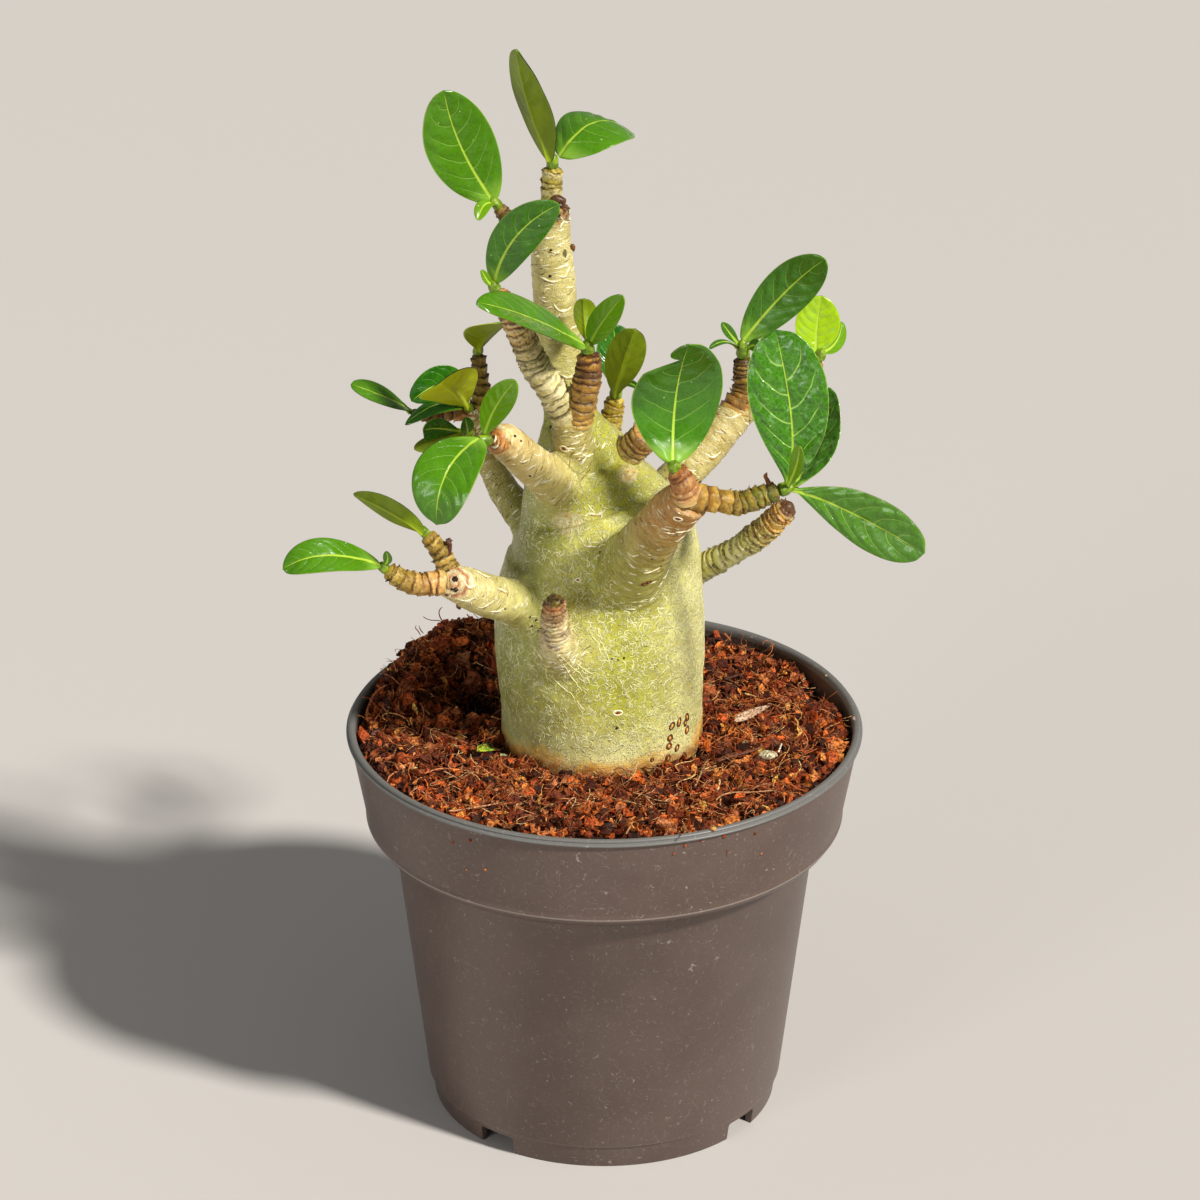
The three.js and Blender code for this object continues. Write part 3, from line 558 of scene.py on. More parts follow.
# Ringed shoots: points as x, y, z and radius, pitch of the leaf-scar rings at the base and at the tip,
# and the four tones of their bark: low on the shoot, high on it, the crest of a ring, which is partly its
# own pale edge and partly a painted highlight, and the groove under it, which is partly its own dark line
# and partly painted shade under the lip. Gain brightens them, and change is the share of the length where
# the high tone sets in. Lip is how far a ring stands out, line the width of a groove and taper the length
# of the narrowed end
shootAxes = {
    "leaderShoot": {
        "gain": 1.25, "pitch": (2.6, 1.6),
        "tones": ((160, 150, 52), (180, 166, 66), (255, 244, 196), (84, 46, 14)), "points": [
        (-12.3, 5, 215, 2.6), (-11.9, 5, 224.6, 2.4), (-11.6, 5, 231.2, 2.2)]},
    "twig": {
        "pitch": (2.2, 1.5),
        "tones": ((140, 112, 46), (120, 92, 32), (208, 168, 104), (58, 32, 12)), "points": [
        (-11, 5, 210.5, 1.8), (-17.8, 4, 216.1, 1.6), (-21.5, 3, 219.6, 1.6), (-23.6, 2, 222.9, 1.5)]},
    "leftShoot": {
        "gain": 1.6, "change": 0.35, "pitch": (2.4, 1.2),
        "tones": ((206, 196, 140), (172, 114, 46), (255, 244, 204), (54, 30, 10)), "points": [
        (-7.4, -9, 176, 4), (-11.5, -10, 183.5, 3.6), (-15.3, -11, 189.8, 3.3), (-17.7, -12, 196, 3.1),
        (-20.3, -13, 202.4, 2.8), (-24, -13, 209, 1.9)]},
    "middleShoot": {
        "gain": 0.85, "change": 0.2, "pitch": (1.6, 1.1),
        "tones": ((190, 150, 78), (140, 76, 18), (240, 186, 84), (52, 26, 6)), "points": [
        (-6.6, -9.5, 175, 3.6), (-4.4, -11, 183.9, 3.2), (-3.5, -11, 189.8, 2.8), (-3.7, -11, 193.2, 2.3)]},
    "lowShoot": {
        "gain": 1.25, "pitch": (1.9, 1.4),
        "tones": ((216, 206, 116), (176, 150, 30), (248, 228, 130), (96, 58, 10)), "points": [
        (-1, 6, 156, 3.2), (0.8, 8, 161.7, 2.6), (1.6, 9, 168.2, 2.4), (2.5, 9, 174, 2.1)]},
    "shoulderStub": {
        "gain": 1.2, "change": 0.5, "pitch": (4.2, 1.2),
        "tones": ((186, 166, 98), (176, 128, 66), (244, 220, 156), (96, 60, 22)), "points": [
        (-1, 4, 155, 5), (1.7, 2, 159.4, 4), (4, 0, 162.7, 3.6), (8.3, -3, 168.5, 3.5), (9.8, -4, 170.9, 3.2)]},
    "backShoot": {
        "pitch": (2.4, 1.6),
        "tones": ((170, 136, 34), (130, 100, 22), (224, 190, 84), (42, 24, 4)), "points": [
        (-29, 17, 165, 2.3), (-28.4, 18, 173.1, 1.9), (-28.9, 18, 180.9, 1.6)]},
    "sideShoot": {
        "pitch": (1.8, 1.2),
        "tones": ((150, 96, 46), (136, 80, 34), (206, 160, 110), (66, 34, 14)), "points": [
        (-29, 17, 166, 2), (-34.3, 16, 166.9, 1.7), (-38.8, 15, 166.6, 1.6), (-42.2, 14, 167.6, 1.4)]},
    "lowerLeftShoot": {
        "gain": 1.2, "pitch": (2.0, 1.2),
        "tones": ((206, 146, 74), (168, 146, 36), (244, 206, 134), (96, 46, 12)), "points": [
        (-35, -28, 145, 3.2), (-41.2, -30, 145.2, 2.6), (-44.9, -31, 146.8, 2.3), (-48.6, -31.2, 149.4, 1.8)]},
    "upperLeftShoot": {
        "pitch": (2.2, 1.5),
        "tones": ((186, 154, 70), (150, 116, 22), (236, 206, 116), (62, 36, 8)), "points": [
        (-33.8, -26, 144, 2.9), (-36.8, -26, 151.3, 2.2), (-38.7, -26, 154.2, 2), (-39.8, -26, 155.6, 1.7)]},
    "frontStub": {
        "gain": 1.35, "change": 0.4, "lip": 0.6, "taper": 2.4, "line": 0.27, "pitch": (1.0, 1.4),
        "tip": (112, 90, 2),
        "tones": ((240, 220, 168), (176, 100, 36), (255, 244, 216), (84, 42, 12)), "points": [
        (-10.5, -23.4, 128.0, 3.9), (-10.9, -24.4, 129.6, 3.6), (-11.3, -28, 136.2, 2.7),
        (-11.1, -31, 142.8, 1.75)]},
    "frontKnob": {
        "pitch": (1.9, 1.2),
        "tones": ((218, 156, 88), (176, 106, 42), (250, 208, 146), (120, 56, 16)), "points": [
        (18.2, -41, 171.5, 4), (16.8, -43.7, 177, 2.5), (15.4, -44.6, 179.8, 1.9)]},
    "rightShoot": {
        "gain": 1.15, "pitch": (2.3, 1.5),
        "tones": ((146, 100, 22), (108, 122, 0), (240, 196, 96), (62, 28, 4)), "points": [
        (18.5, -41, 172, 3.6), (24.2, -41, 170.8, 2.6), (29.5, -40, 169.6, 2.6), (33.8, -39, 170.5, 2.6),
        (38.4, -38.2, 171.8, 2)]},
    "lowerRightShoot": {
        # its high gain is painted light: the shoot lies along the key light, gets little of it, and its tones are
        # brightened instead
        "gain": 2.2, "taper": 2.4, "change": 0.6, "lip": 0.8, "pitch": (2.1, 1.1), "tip": (112, 66, 24),
        "tones": ((214, 208, 128), (214, 150, 66), (255, 255, 236), (84, 56, 20)), "points": [
        (13, 5, 127, 6), (19.7, 4, 132.3, 3.9), (23.6, 2, 135, 3), (29.6, -2, 140.4, 2.7),
        (35.3, -6, 146.5, 2.8), (42.3, -10, 155.8, 2.4)]},
    "farShoot": {
        "pitch": (1.5, 1.1),
        "tones": ((176, 120, 44), (124, 92, 16), (236, 190, 104), (46, 24, 4)), "points": [
        (29.5, 25, 161.5, 4.2), (32.7, 27, 168.5, 3), (32.2, 26.6, 172.5, 2.4), (32, 26.3, 176.6, 2)]},
}
bark = {
    "voxel": 0.56, "caudex": (196, 196, 74), "caudexLight": (222, 216, 116), "caudexShade": (184, 186, 56),
    "pale": (244, 238, 176), "grey": (156, 164, 90), "line": (238, 238, 196), "ring": (246, 238, 192),
    "stain": (246, 178, 56), "mud": (156, 88, 26), "crust": ((44, 24, 12), (176, 120, 60)),
    "patch": ((236, 198, 118), (255, 250, 196)), "blot": (34, 20, 10),
}


def barkMaterial():
    # the flow attribute holds each point in the frame of its own branch, so wrinkles run round it
    material, tree, shader = newMaterial("bark", {"Specular IOR Level": 0.4})
    lines = attribute(tree, "paint", "Alpha")
    smooth = 1 - lines
    place = millimetres(tree)
    cloud = grain(place, 0.14, 4, 0.6)
    colour = mix(fade(cloud, 0.32, 0.6) * 0.6, (196, 190, 150), (255, 255, 255))
    colour = mix(0.8, attribute(tree, "paint"), colour, "MULTIPLY")
    wrinkle = grain(mapped(attribute(tree, "flow", "Vector"), (0.32, 0.32, 1.5)), 0.9, 4, 0.62, 0.3)
    crease = 1 - fade(wrinkle, 0.34, 0.47)
    # painted shade: the creases of the wrinkles are darkened
    colour = mix(crease * smooth * 0.42, colour, (112, 92, 36))
    # painted highlight: the ridges of the wrinkles are lightened
    colour = mix(fade(wrinkle, 0.55, 0.68) * smooth * 0.45, colour, (255, 246, 206))
    pores = grain(place, 2.6, 2, 0.6)
    colour = mix(fade(pores, 0.6, 0.76) * 0.22, colour, (96, 92, 20))
    # faint short strokes between the raised ones
    coarse = lineOf(grain(millimetres(tree, (1, 1, 0.62)), 0.74, 1.2, 0.5, 0.5), 0.034)
    coarse = coarse * fade(grain(place, 0.5, 1), 0.38, 0.48)
    small = lineOf(grain(millimetres(tree, (1, 1, 0.7), (9, 4, 2)), 1.25, 1, 0.5, 0.4), 0.045)
    small = small * fade(grain(millimetres(tree, shift=(5, 1, 7)), 0.6, 1), 0.42, 0.52)
    stroke = most(coarse, small) * lines
    colour = mix(stroke * 0.42, colour, bark["line"])
    height = wrinkle * smooth * 1.4 + stroke * 1.1 + pores * 0.25
    finishMaterial(shader, colour, 0.52 - cloud * 0.25, height, 0.3)
    return material


def axisReach(places, path):
    # signed distance to the tube of a path, and where along and round it each point lies
    picks = path["centre"][::4], path["radius"][::4]
    best = np.full(len(places), 1e9)
    nearest = np.zeros(len(places), int)
    for i, (centre, radius) in enumerate(zip(*picks)):
        reach = np.linalg.norm(places - centre, axis=1) - radius
        closer = reach < best
        best[closer] = reach[closer]
        nearest[closer] = i * 4
    out = places - path["centre"][nearest]
    angle = np.arctan2((out * path["other"][nearest]).sum(1), (out * path["across"][nearest]).sum(1))
    along = path["s"][nearest] + (out * path["along"][nearest]).sum(1)
    return best, along, angle


def vertexPlaces(mesh):
    places = np.empty(len(mesh.vertices) * 3)
    mesh.vertices.foreach_get("co", places)
    return places.reshape(-1, 3) / mm


def setPlaces(mesh, places):
    mesh.vertices.foreach_set("co", (places * mm).ravel())
    mesh.update()


def vertexNormals(mesh):
    normals = np.empty(len(mesh.vertices) * 3, np.float32)
    mesh.vertex_normals.foreach_get("vector", normals)
    return normals.reshape(-1, 3).astype(float)


def relax(mesh, places, weights, rounds):
    # moves each vertex towards the middle of its neighbours by its own weight
    ends = np.empty(len(mesh.edges) * 2, int)
    mesh.edges.foreach_get("vertices", ends)
    ends = ends.reshape(-1, 2)
    links = np.bincount(ends.ravel(), minlength=len(places)).astype(float)
    for _ in range(rounds):
        total = np.zeros_like(places)
        for column in range(3):
            total[:, column] = (np.bincount(ends[:, 0], places[ends[:, 1], column], len(places))
                                + np.bincount(ends[:, 1], places[ends[:, 0], column], len(places)))
        places = places + (total / links[:, None] - places) * weights[:, None]
    return places


# Marks of the bark, found by the pixel of the photograph where each one shows
barkMarks = {
    # u, v, half width and half height in millimetres; a crescent opens upwards
    "crescents": [
        (549, 280, 3.4, 1.1), (564, 276, 1.6, 1.0), (548, 238, 1.9, 0.8), (557, 252, 1.2, 1.0),
        (562, 266, 2.6, 0.8), (570, 287, 1.6, 0.6), (563, 309, 3.2, 1.7), (575, 326, 2.0, 1.1),
        (566, 221, 3.0, 0.8), (568, 376, 2.2, 1.0), (560, 244, 1.5, 1.1), (543, 300, 1.8, 0.6),
        (525, 461, 1.8, 1.0), (532, 467, 1.6, 0.8), (547, 481, 2.6, 1.4), (541, 494, 1.8, 0.8),
        (539, 455, 2.4, 0.5), (588, 455, 2.6, 0.9), (577, 436, 2.2, 0.7), (596, 513, 3.0, 1.0),
        (633, 555, 2.2, 0.8), (670, 533, 1.9, 0.8), (590, 546, 2.0, 0.6), (652, 571, 3.4, 0.5),
        (713, 455, 2.8, 1.5), (734, 416, 3.0, 1.3), (742, 436, 1.9, 1.0), (690, 470, 2.0, 1.2),
        (680, 462, 2.0, 0.8), (471, 585, 2.2, 1.8), (483, 574, 2.6, 1.1), (487, 605, 2.6, 1.0),
        (503, 590, 2.0, 0.8), (497, 611, 2.2, 0.6), (515, 580, 1.6, 0.5), (466, 600, 2.6, 1.0),
    ],
    # u, v, half width and half height in millimetres
    "patches": [(568, 522, 4.8, 2.8), (629, 474, 3.4, 2.2), (504, 434, 3.2, 2.0), (690, 496, 2.6, 2.0)],
    # u, v, radius and ring spacing in millimetres, share of dark blots, two tones
    "scars": [(453, 582, 4.7, 2.3, 0.3, (176, 96, 36), (255, 236, 190)),
              (493, 441, 3.6, 1.3, 0.2, (150, 78, 22), (232, 160, 80))],
    # u, v and size of a pale ring with a dark heart
    "eyes": [(678, 519, 1.4), (627, 460, 1.3), (553, 386, 1.5), (564, 449, 1.6), (582, 430, 1.0),
             (618, 713, 1.5), (522, 537, 0.9), (578, 580, 0.9), (525, 505, 0.8)],
    # u, v and size of a dark dot
    "dots": [(455.2, 579, 0.95), (455.8, 590, 0.8), (451.8, 589, 0.5), (443.6, 570.6, 0.5), (446, 570.2, 0.55),
             (448.4, 570.6, 0.45), (440.2, 592.6, 0.45), (446.3, 594.8, 0.45), (617, 728, 0.55),
             (612, 659, 0.35), (618, 660, 0.3), (624, 658, 0.4), (551, 427, 0.6),
             (652, 559, 0.35), (661, 566, 0.35), (530, 476, 0.45), (600, 552, 0.4), (663, 560, 0.3),
             (700, 482, 0.5), (687, 498, 0.5), (681, 470, 0.5), (708, 488, 0.6), (694, 487, 0.5),
             (704, 500, 0.5), (676, 486, 0.5), (536, 620, 0.4), (530, 617, 0.45), (532, 626, 0.35),
             (550, 276, 0.5), (551, 250, 0.45), (515, 436, 0.5), (521, 441, 0.4), (505, 609, 0.3)],
}


def treeOf(mesh, places):
    return BVHTree.FromPolygons([Vector(p) for p in places], [face.vertices[:] for face in mesh.polygons])


def weldBark():
    # one skin over the caudex and all branches; the tubes differ in sides and in step
    tubes = [(caudexPoints, 72, 1.0)] + [(axis["points"], 40, 0.8) for axis in barkAxes.values()]
    body = joined("caudex_and_bark", [newObject("barkTube", tubeAlong(*tube), []) for tube in tubes])
    weld = body.modifiers.new("weld", "REMESH")
    weld.mode = "VOXEL"
    weld.voxel_size = bark["voxel"] * mm
    return evaluated(body)


def caudexColour(places, broad):
    # lighter and darker clouds and cream round the foot; painted light and shade: cream on the right side, where
    # the light falls, and grey-green on the left side, which lies in shade
    light = smoothStep(-0.35, 0.4, broad)
    low, high, shade = (srgb(*bark[key]) for key in ("caudex", "caudexLight", "caudexShade"))
    tone = np.where((light > 0.5)[:, None], low + (high - low) * (light[:, None] - 0.5) * 1.2,
                    shade + (low - shade) * (0.4 + light[:, None] * 1.2))
    foot = 0.85 * smoothStep(112, 96, places[:, 2] + 3 * broad)
    # cream round the foot, and painted light: cream on the right side
    tone = blend(tone, srgb(*bark["pale"]), np.maximum(foot, 0.65 * smoothStep(5, 21, places[:, 0])))
    # painted shade: the left side turns grey-green
    return blend(tone, srgb(*bark["grey"]), 0.6 * smoothStep(-4, -20, places[:, 0]))


def addPatches(colour, rise, places, tree):
    # rough pale patches with a ragged edge
    low, high = (srgb(*tone) for tone in bark["patch"])
    for u, v, wide, tall in barkMarks["patches"]:
        hit = tree.ray_cast(*pixelRay(u, v))[0]
        near = np.linalg.norm((places - np.array(hit)) / np.array([wide, wide, tall]), axis=1)
        ragged = smoothStep(1.1, 0.6, near + 0.35 * grainOf(places, 1.6, u))
        tone = blend(low, high, smoothStep(-0.3, 0.3, grainOf(places, 0.9, 5)))
        colour = blend(colour, tone, 0.95 * ragged)
        rise = rise + ragged * 0.25 * grainOf(places, 1.1, 2)
    return colour, rise


def addScars(colour, rise, places, tree):
    # cut ends and healed leaf bases: rings of dark and pale wood round one point
    for u, v, size, pitch, blotted, low, high in barkMarks["scars"]:
        hit = tree.ray_cast(*pixelRay(u, v))[0]
        near = np.linalg.norm(places - np.array(hit), axis=1) * (1 + 0.22 * grainOf(places, 2.2, 1))
        ring = 0.5 + 0.5 * np.cos(near * math.tau / pitch + 2.2 * grainOf(places, 1.8, 3))
        blot = smoothStep(-0.08, 0.16, grainOf(places, 1.3, 8)) * smoothStep(size * 0.75, size * 0.4, near)
        tone = blend(blend(srgb(*low), srgb(*high), ring), srgb(*bark["blot"]), blot * blotted)
        inside = smoothStep(size, size - 0.7, near)
        colour = blend(colour, tone, inside)
        rise = rise + (inside * (0.22 * ring - 0.25 * blot) + 0.3 * np.exp(-((near - size) / 0.5) ** 2))
    return colour, rise


def makeBark():
    body = weldBark()
    mesh = body.data
    places = vertexPlaces(mesh)
    paths = {"caudex": layPath(caudexPoints)}
    paths.update({name: layPath(axis["points"]) for name, axis in barkAxes.items()})
    reaches = {name: axisReach(places, path) for name, path in paths.items()}
    reach = np.stack([found[0] for found in reaches.values()])
    order = np.sort(reach, axis=0)
    seam = np.exp(-((order[1] - order[0]) / 1.3) ** 2)
    places = relax(mesh, places, np.full(len(places), 0.5), 5)
    places = relax(mesh, places, 0.6 * seam, 26)
    setPlaces(mesh, places)
    normals = vertexNormals(mesh)
    nearest = reach.argmin(axis=0)
    share = np.exp(-(reach - reach.min(axis=0)) / 1.1)
    share /= share.sum(axis=0)
    # tone of each branch along its length
    broad = grainOf(places, 13)
    colour = caudexColour(places, broad) * share[0][:, None]
    lines = share[0].copy()
    flow = np.zeros((len(places), 3))
    rise = np.zeros(len(places))
    for i, (name, (_, along, angle)) in enumerate(reaches.items()):
        wide = np.interp(along, paths[name]["s"], paths[name]["radius"])
        local = np.column_stack([wide * np.cos(angle), wide * np.sin(angle), along + 20 * i])
        flow[nearest == i] = local[nearest == i]
        if name == "caudex":
            continue
        axis = barkAxes[name]
        length = paths[name]["s"][-1]
        run = smoothStep(axis.get("turn", 0.25), 0.95, along / length)
        colour += blend(srgb(*axis["tone"]), srgb(*axis["end"]), run) * share[i][:, None]
        lines += axis["lines"] * share[i]
        # soft growth rings round the branch
        wave = along + 0.5 * np.cos(angle + along * 0.3) + 0.4 * grainOf(places, 4, i)
        mine = (nearest == i) * np.clip(along / length * 3, 0, 1)
        lull = 0.5 + 0.5 * grainOf(np.column_stack([along, angle * 2, angle * 0]), 3.0, i)
        rise += mine * lull * (0.07 * np.sin(wave * 2.1 + 2 * lull) + 0.06 * np.sin(wave * 4.7 + 1))
        ring = smoothStep(0.72, 1.0, np.sin(wave * 2.4 + 0.9))
        colour = blend(colour, srgb(*bark["ring"]), mine * ring * lull * 0.4)
    rise += 0.22 * broad + 0.16 * grainOf(places, 4.2, 3) + 0.06 * grainOf(places, 1.6, 7)
    # creases where a branch leaves the caudex
    crease = np.sin(order[1] * 2.6 + grainOf(places, 5, 9)) * np.exp(-order[1] / 3.0) * (order[1] > 0.3)
    rise += 0.12 * crease
    tree = treeOf(mesh, places)
    colour, rise = addPatches(colour, rise, places, tree)
    colour, rise = addScars(colour, rise, places, tree)
    # stain at the soil line, crust at the top of the leader
    high, foot = places[:, 2], nearest == 0
    lines *= 1 - 0.4 * smoothStep(99, 97, high) * foot
    wet = smoothStep(99.0, 95.2, high + 3.4 * grainOf(places, 9, 2) + 1.2 * grainOf(places, 2, 5)) * foot
    colour = blend(colour, srgb(*bark["stain"]), 0.8 * wet)
    mud = smoothStep(96.6, 94.6, high + 1.2 * grainOf(places, 2, 6)) * foot
    colour = blend(colour, srgb(*bark["mud"]), 0.7 * mud)
    crust = smoothStep(217.6, 220.6, high + 1.1 * grainOf(places, 2, 4)) * (nearest == 1)
    low, pale = (srgb(*tone) for tone in bark["crust"])
    colour = blend(colour, blend(low, pale, smoothStep(-0.2, 0.25, grainOf(places, 1.1, 6))), crust)
    rise += 0.4 * crust * grainOf(places, 1.0, 8)
    places = places + normals * rise[:, None]
    setPlaces(mesh, places)
    layer = mesh.attributes.new("paint", "FLOAT_COLOR", "POINT")
    layer.data.foreach_set("color", np.column_stack([np.clip(colour, 0, 1), lines]).ravel())
    flowLayer = mesh.attributes.new("flow", "FLOAT_VECTOR", "POINT")
    flowLayer.data.foreach_set("vector", flow.ravel())
    mesh.shade_smooth()
    mesh.materials.clear()
    mesh.materials.append(barkSkin)
    return declare(body, "bark", ["caudex_and_branches"]), treeOf(mesh, places)


barkSkin = barkMaterial()
barkBody, barkTree = makeBark()
print("caudex and bark made", len(barkBody.data.polygons), "faces")

# Raised marks on the bark: strokes, crescents, rings and dots, all as thin ridges on its surface
marks = {
    "strokes": 4900, "heights": (96, 158), "axis": (-0.6, 0), "step": 0.4, "sink": 0.3, "stroke": (0.07, 0.13),
    "pale": (238, 236, 174), "cream": (250, 242, 204), "brown": (94, 46, 8), "gold": (224, 168, 78),
    "dark": (36, 22, 10), "heart": (126, 52, 24), "shade": (150, 108, 50), "dull": (140, 104, 44),
}
# Long pale lines of the caudex, as the pixels that they pass
longLines = [
    [(553, 650), (560, 657), (567, 662), (573, 668), (580, 673), (585, 679)],
    [(530, 644), (536, 651), (541, 659), (545, 666), (547, 675), (549, 685)],
    [(541, 666), (549, 673), (557, 682), (566, 690), (572, 695), (576, 701)],
    [(590, 632), (594, 638), (599, 644), (600, 650), (603, 656)],
    [(557, 655), (565, 668), (570, 677), (577, 684), (582, 691)],
    [(570, 660), (580, 666), (588, 672), (596, 676)],
    [(511, 640), (512, 650), (510, 662)], [(520, 648), (517, 658), (519, 670)],
    [(577, 700), (580, 706), (584, 711)], [(600, 640), (606, 652), (610, 668)],
]
# Brown rings and tails at the foot: pixel, half width and half height in millimetres, tilt in degrees
brownRings = [
    (672, 726, 0.85, 1.15, -40), (679, 722, 0.75, 1.3, -15), (687, 717, 0.7, 1.2, 15), (687, 730, 0.9, 1.1, -20),
    (670, 738, 0.95, 0.9, 20), (669, 746, 0.95, 0.85, 10), (677, 748, 0.75, 1.0, -30), (668, 758, 0.9, 0.9, 0),
    (684, 757, 1.1, 1.3, 10), (685, 723, 0.5, 0.9, 5), (652, 760, 0.4, 0.4, 0),
    (645, 584, 1.0, 0.5, 15), (649, 582, 0.7, 0.5, -30),
]


def traced(spot, heading, turns, step):
    # walks over the bark from a point, turning a little at each step
    place, normal = spot
    rows = [(place, normal)]
    for turn in turns:
        heading = Matrix.Rotation(turn, 3, normal) @ heading
        heading = (heading - normal * heading.dot(normal)).normalized()
        found = barkTree.find_nearest(place + heading * step)
        place, normal = found[0], found[1]
        rows.append((place, normal))
    return rows


def ridge(rows, radius, tone, closed=False):
    return {"rows": rows, "radius": radius, "tone": tone, "closed": closed}


def makeRidges(name, ridges, sides=3):
    # every ridge is a closed tube of few sides, drawn along its points and sunk into the bark
    verts, faces, colours = [], [], []
    for item in ridges:
        centre = np.array([row[0] for row in item["rows"]])
        normal = np.array([row[1] for row in item["rows"]])
        count = len(centre)
        if item["closed"]:
            along = np.roll(centre, -1, axis=0) - np.roll(centre, 1, axis=0)
        else:
            along = np.gradient(centre, axis=0)
        across = np.cross(along, normal)
        across /= np.maximum(np.linalg.norm(across, axis=1), 1e-9)[:, None]
        radius = np.array(item["radius"])
        centre = centre - normal * (radius * marks["sink"])[:, None]
        first = len(verts)
        for k in range(sides):
            angle = math.tau * (k + 0.25) / sides
            verts += list(centre + (across * math.cos(angle) + normal * math.sin(angle)) * radius[:, None])
        colours += [srgb(*item["tone"])] * (count * sides)
        last = count if item["closed"] else count - 1
        for k in range(sides):
            for i in range(last):
                j = (i + 1) % count
                a, b = first + k * count, first + (k + 1) % sides * count
                faces.append((a + i, b + i, b + j, a + j))
        if not item["closed"]:
            faces.append([first + k * count for k in range(sides)][::-1])
            faces.append([first + k * count + count - 1 for k in range(sides)])
    obj = paintedObject(name, verts, faces, colours, 0.6, markSkin, True)
    bm = bmesh.new()
    bm.from_mesh(obj.data)
    bmesh.ops.recalc_face_normals(bm, faces=bm.faces)
    bm.to_mesh(obj.data)
    bm.free()
    print(name, len(ridges), "ridges")
    return declare(obj, "bark", ["caudex_and_branches"])


def markMaterial():
    material, tree, shader = newMaterial("barkMarks", {"Specular IOR Level": 0.45, "Roughness": 0.4})
    feed(shader.inputs["Base Color"], attribute(tree, "paint"))
    return material


def caudexStrokes():
    rng = random.Random(21)
    made = []
    while len(made) < marks["strokes"]:
        angle, z = rng.uniform(0, math.tau), rng.uniform(*marks["heights"])
        out = Vector((math.cos(angle), math.sin(angle), 0))
        hit = barkTree.ray_cast(Vector((*marks["axis"], z)) + out * 60, -out)
        scarce = max((z - 132) / 45, (103.5 - z) / 6.5)
        if hit[0] is None or (hit[0].xy - Vector(marks["axis"])).length > 26 or rng.random() < scarce:
            continue
        # upright near the foot, any way higher up
        away = rng.gauss(0, 0.5 + 1.2 * smoothStep(98, 128, z))
        upright = Vector((0, 0, 1)) - hit[1] * hit[1].z
        heading = Matrix.Rotation(away, 3, hit[1]) @ upright.normalized()
        count = rng.choice((2, 3, 3, 4, 5, 7))
        bend = rng.gauss(0, 0.24)
        rows = traced(hit[:2], heading, [bend + rng.gauss(0, 0.36) for _ in range(count)], marks["step"])
        size = rng.uniform(*marks["stroke"]) * (1 + 0.5 * smoothStep(118, 150, z))
        radius = [size * (0.55 if k in (0, count) else 1) for k in range(count + 1)]
        shade = rng.uniform(0.86, 1.0)
        made.append(ridge(rows, radius, [c * shade for c in marks["pale"]]))
    return made


def branchStrokes():
    # short pale strokes and lens marks that run round the branches
    rng = random.Random(4)
    made = []
    for axis in barkAxes.values():
        path = layPath(axis["points"])
        length = path["s"][-1]
        for _ in range(int(length * axis.get("strokes", 5))):
            s = length * rng.uniform(0.3, 0.99)
            spot = spotOf(path, s)
            turn = rng.uniform(0, math.tau)
            out = spot["across"] * math.cos(turn) + spot["other"] * math.sin(turn)
            hit = barkTree.ray_cast(spot["centre"] + out * 9, -out)
            if hit[0] is None or abs((hit[0] - spot["centre"]).length - spot["radius"]) > 1.5:
                continue
            heading = spot["along"].cross(hit[1]).normalized() * rng.choice((-1, 1))
            lens = rng.random() < 0.22
            count = rng.choice((3, 4, 5, 6)) if lens else rng.choice((2, 3, 5))
            rows = traced(hit[:2], heading, [rng.gauss(0.08, 0.16) for _ in range(count)], marks["step"])
            size = rng.uniform(0.16, 0.3) if lens else rng.uniform(*marks["stroke"])
            radius = [0.04 + size * math.sin(math.pi * (k + 0.3) / (count + 0.6)) for k in range(count + 1)]
            tone = marks["cream"] if lens or rng.random() < 0.6 else marks["dull"]
            shade = rng.uniform(0.85, 1)
            made.append(ridge(rows, radius, [c * shade for c in tone]))
    return made


def markHit(u, v):
    start, direction = pixelRay(u, v)
    found = barkTree.ray_cast(start, direction)
    return (found[0], found[1]) if found[0] is not None else None


def loopRows(spot, wide, tall, tilt, steps=14):
    # closed loop round a point of the bark, as it is seen in the photograph
    place, normal = spot
    side = Vector((1, 0, 0)) - normal * normal.x
    side = (Matrix.Rotation(math.radians(tilt), 3, normal) @ side).normalized()
    up = normal.cross(side)
    rows = []
    for k in range(steps):
        angle = math.tau * k / steps
        found = barkTree.find_nearest(place + side * wide * math.cos(angle) + up * tall * math.sin(angle))
        rows.append((found[0], found[1]))
    return rows


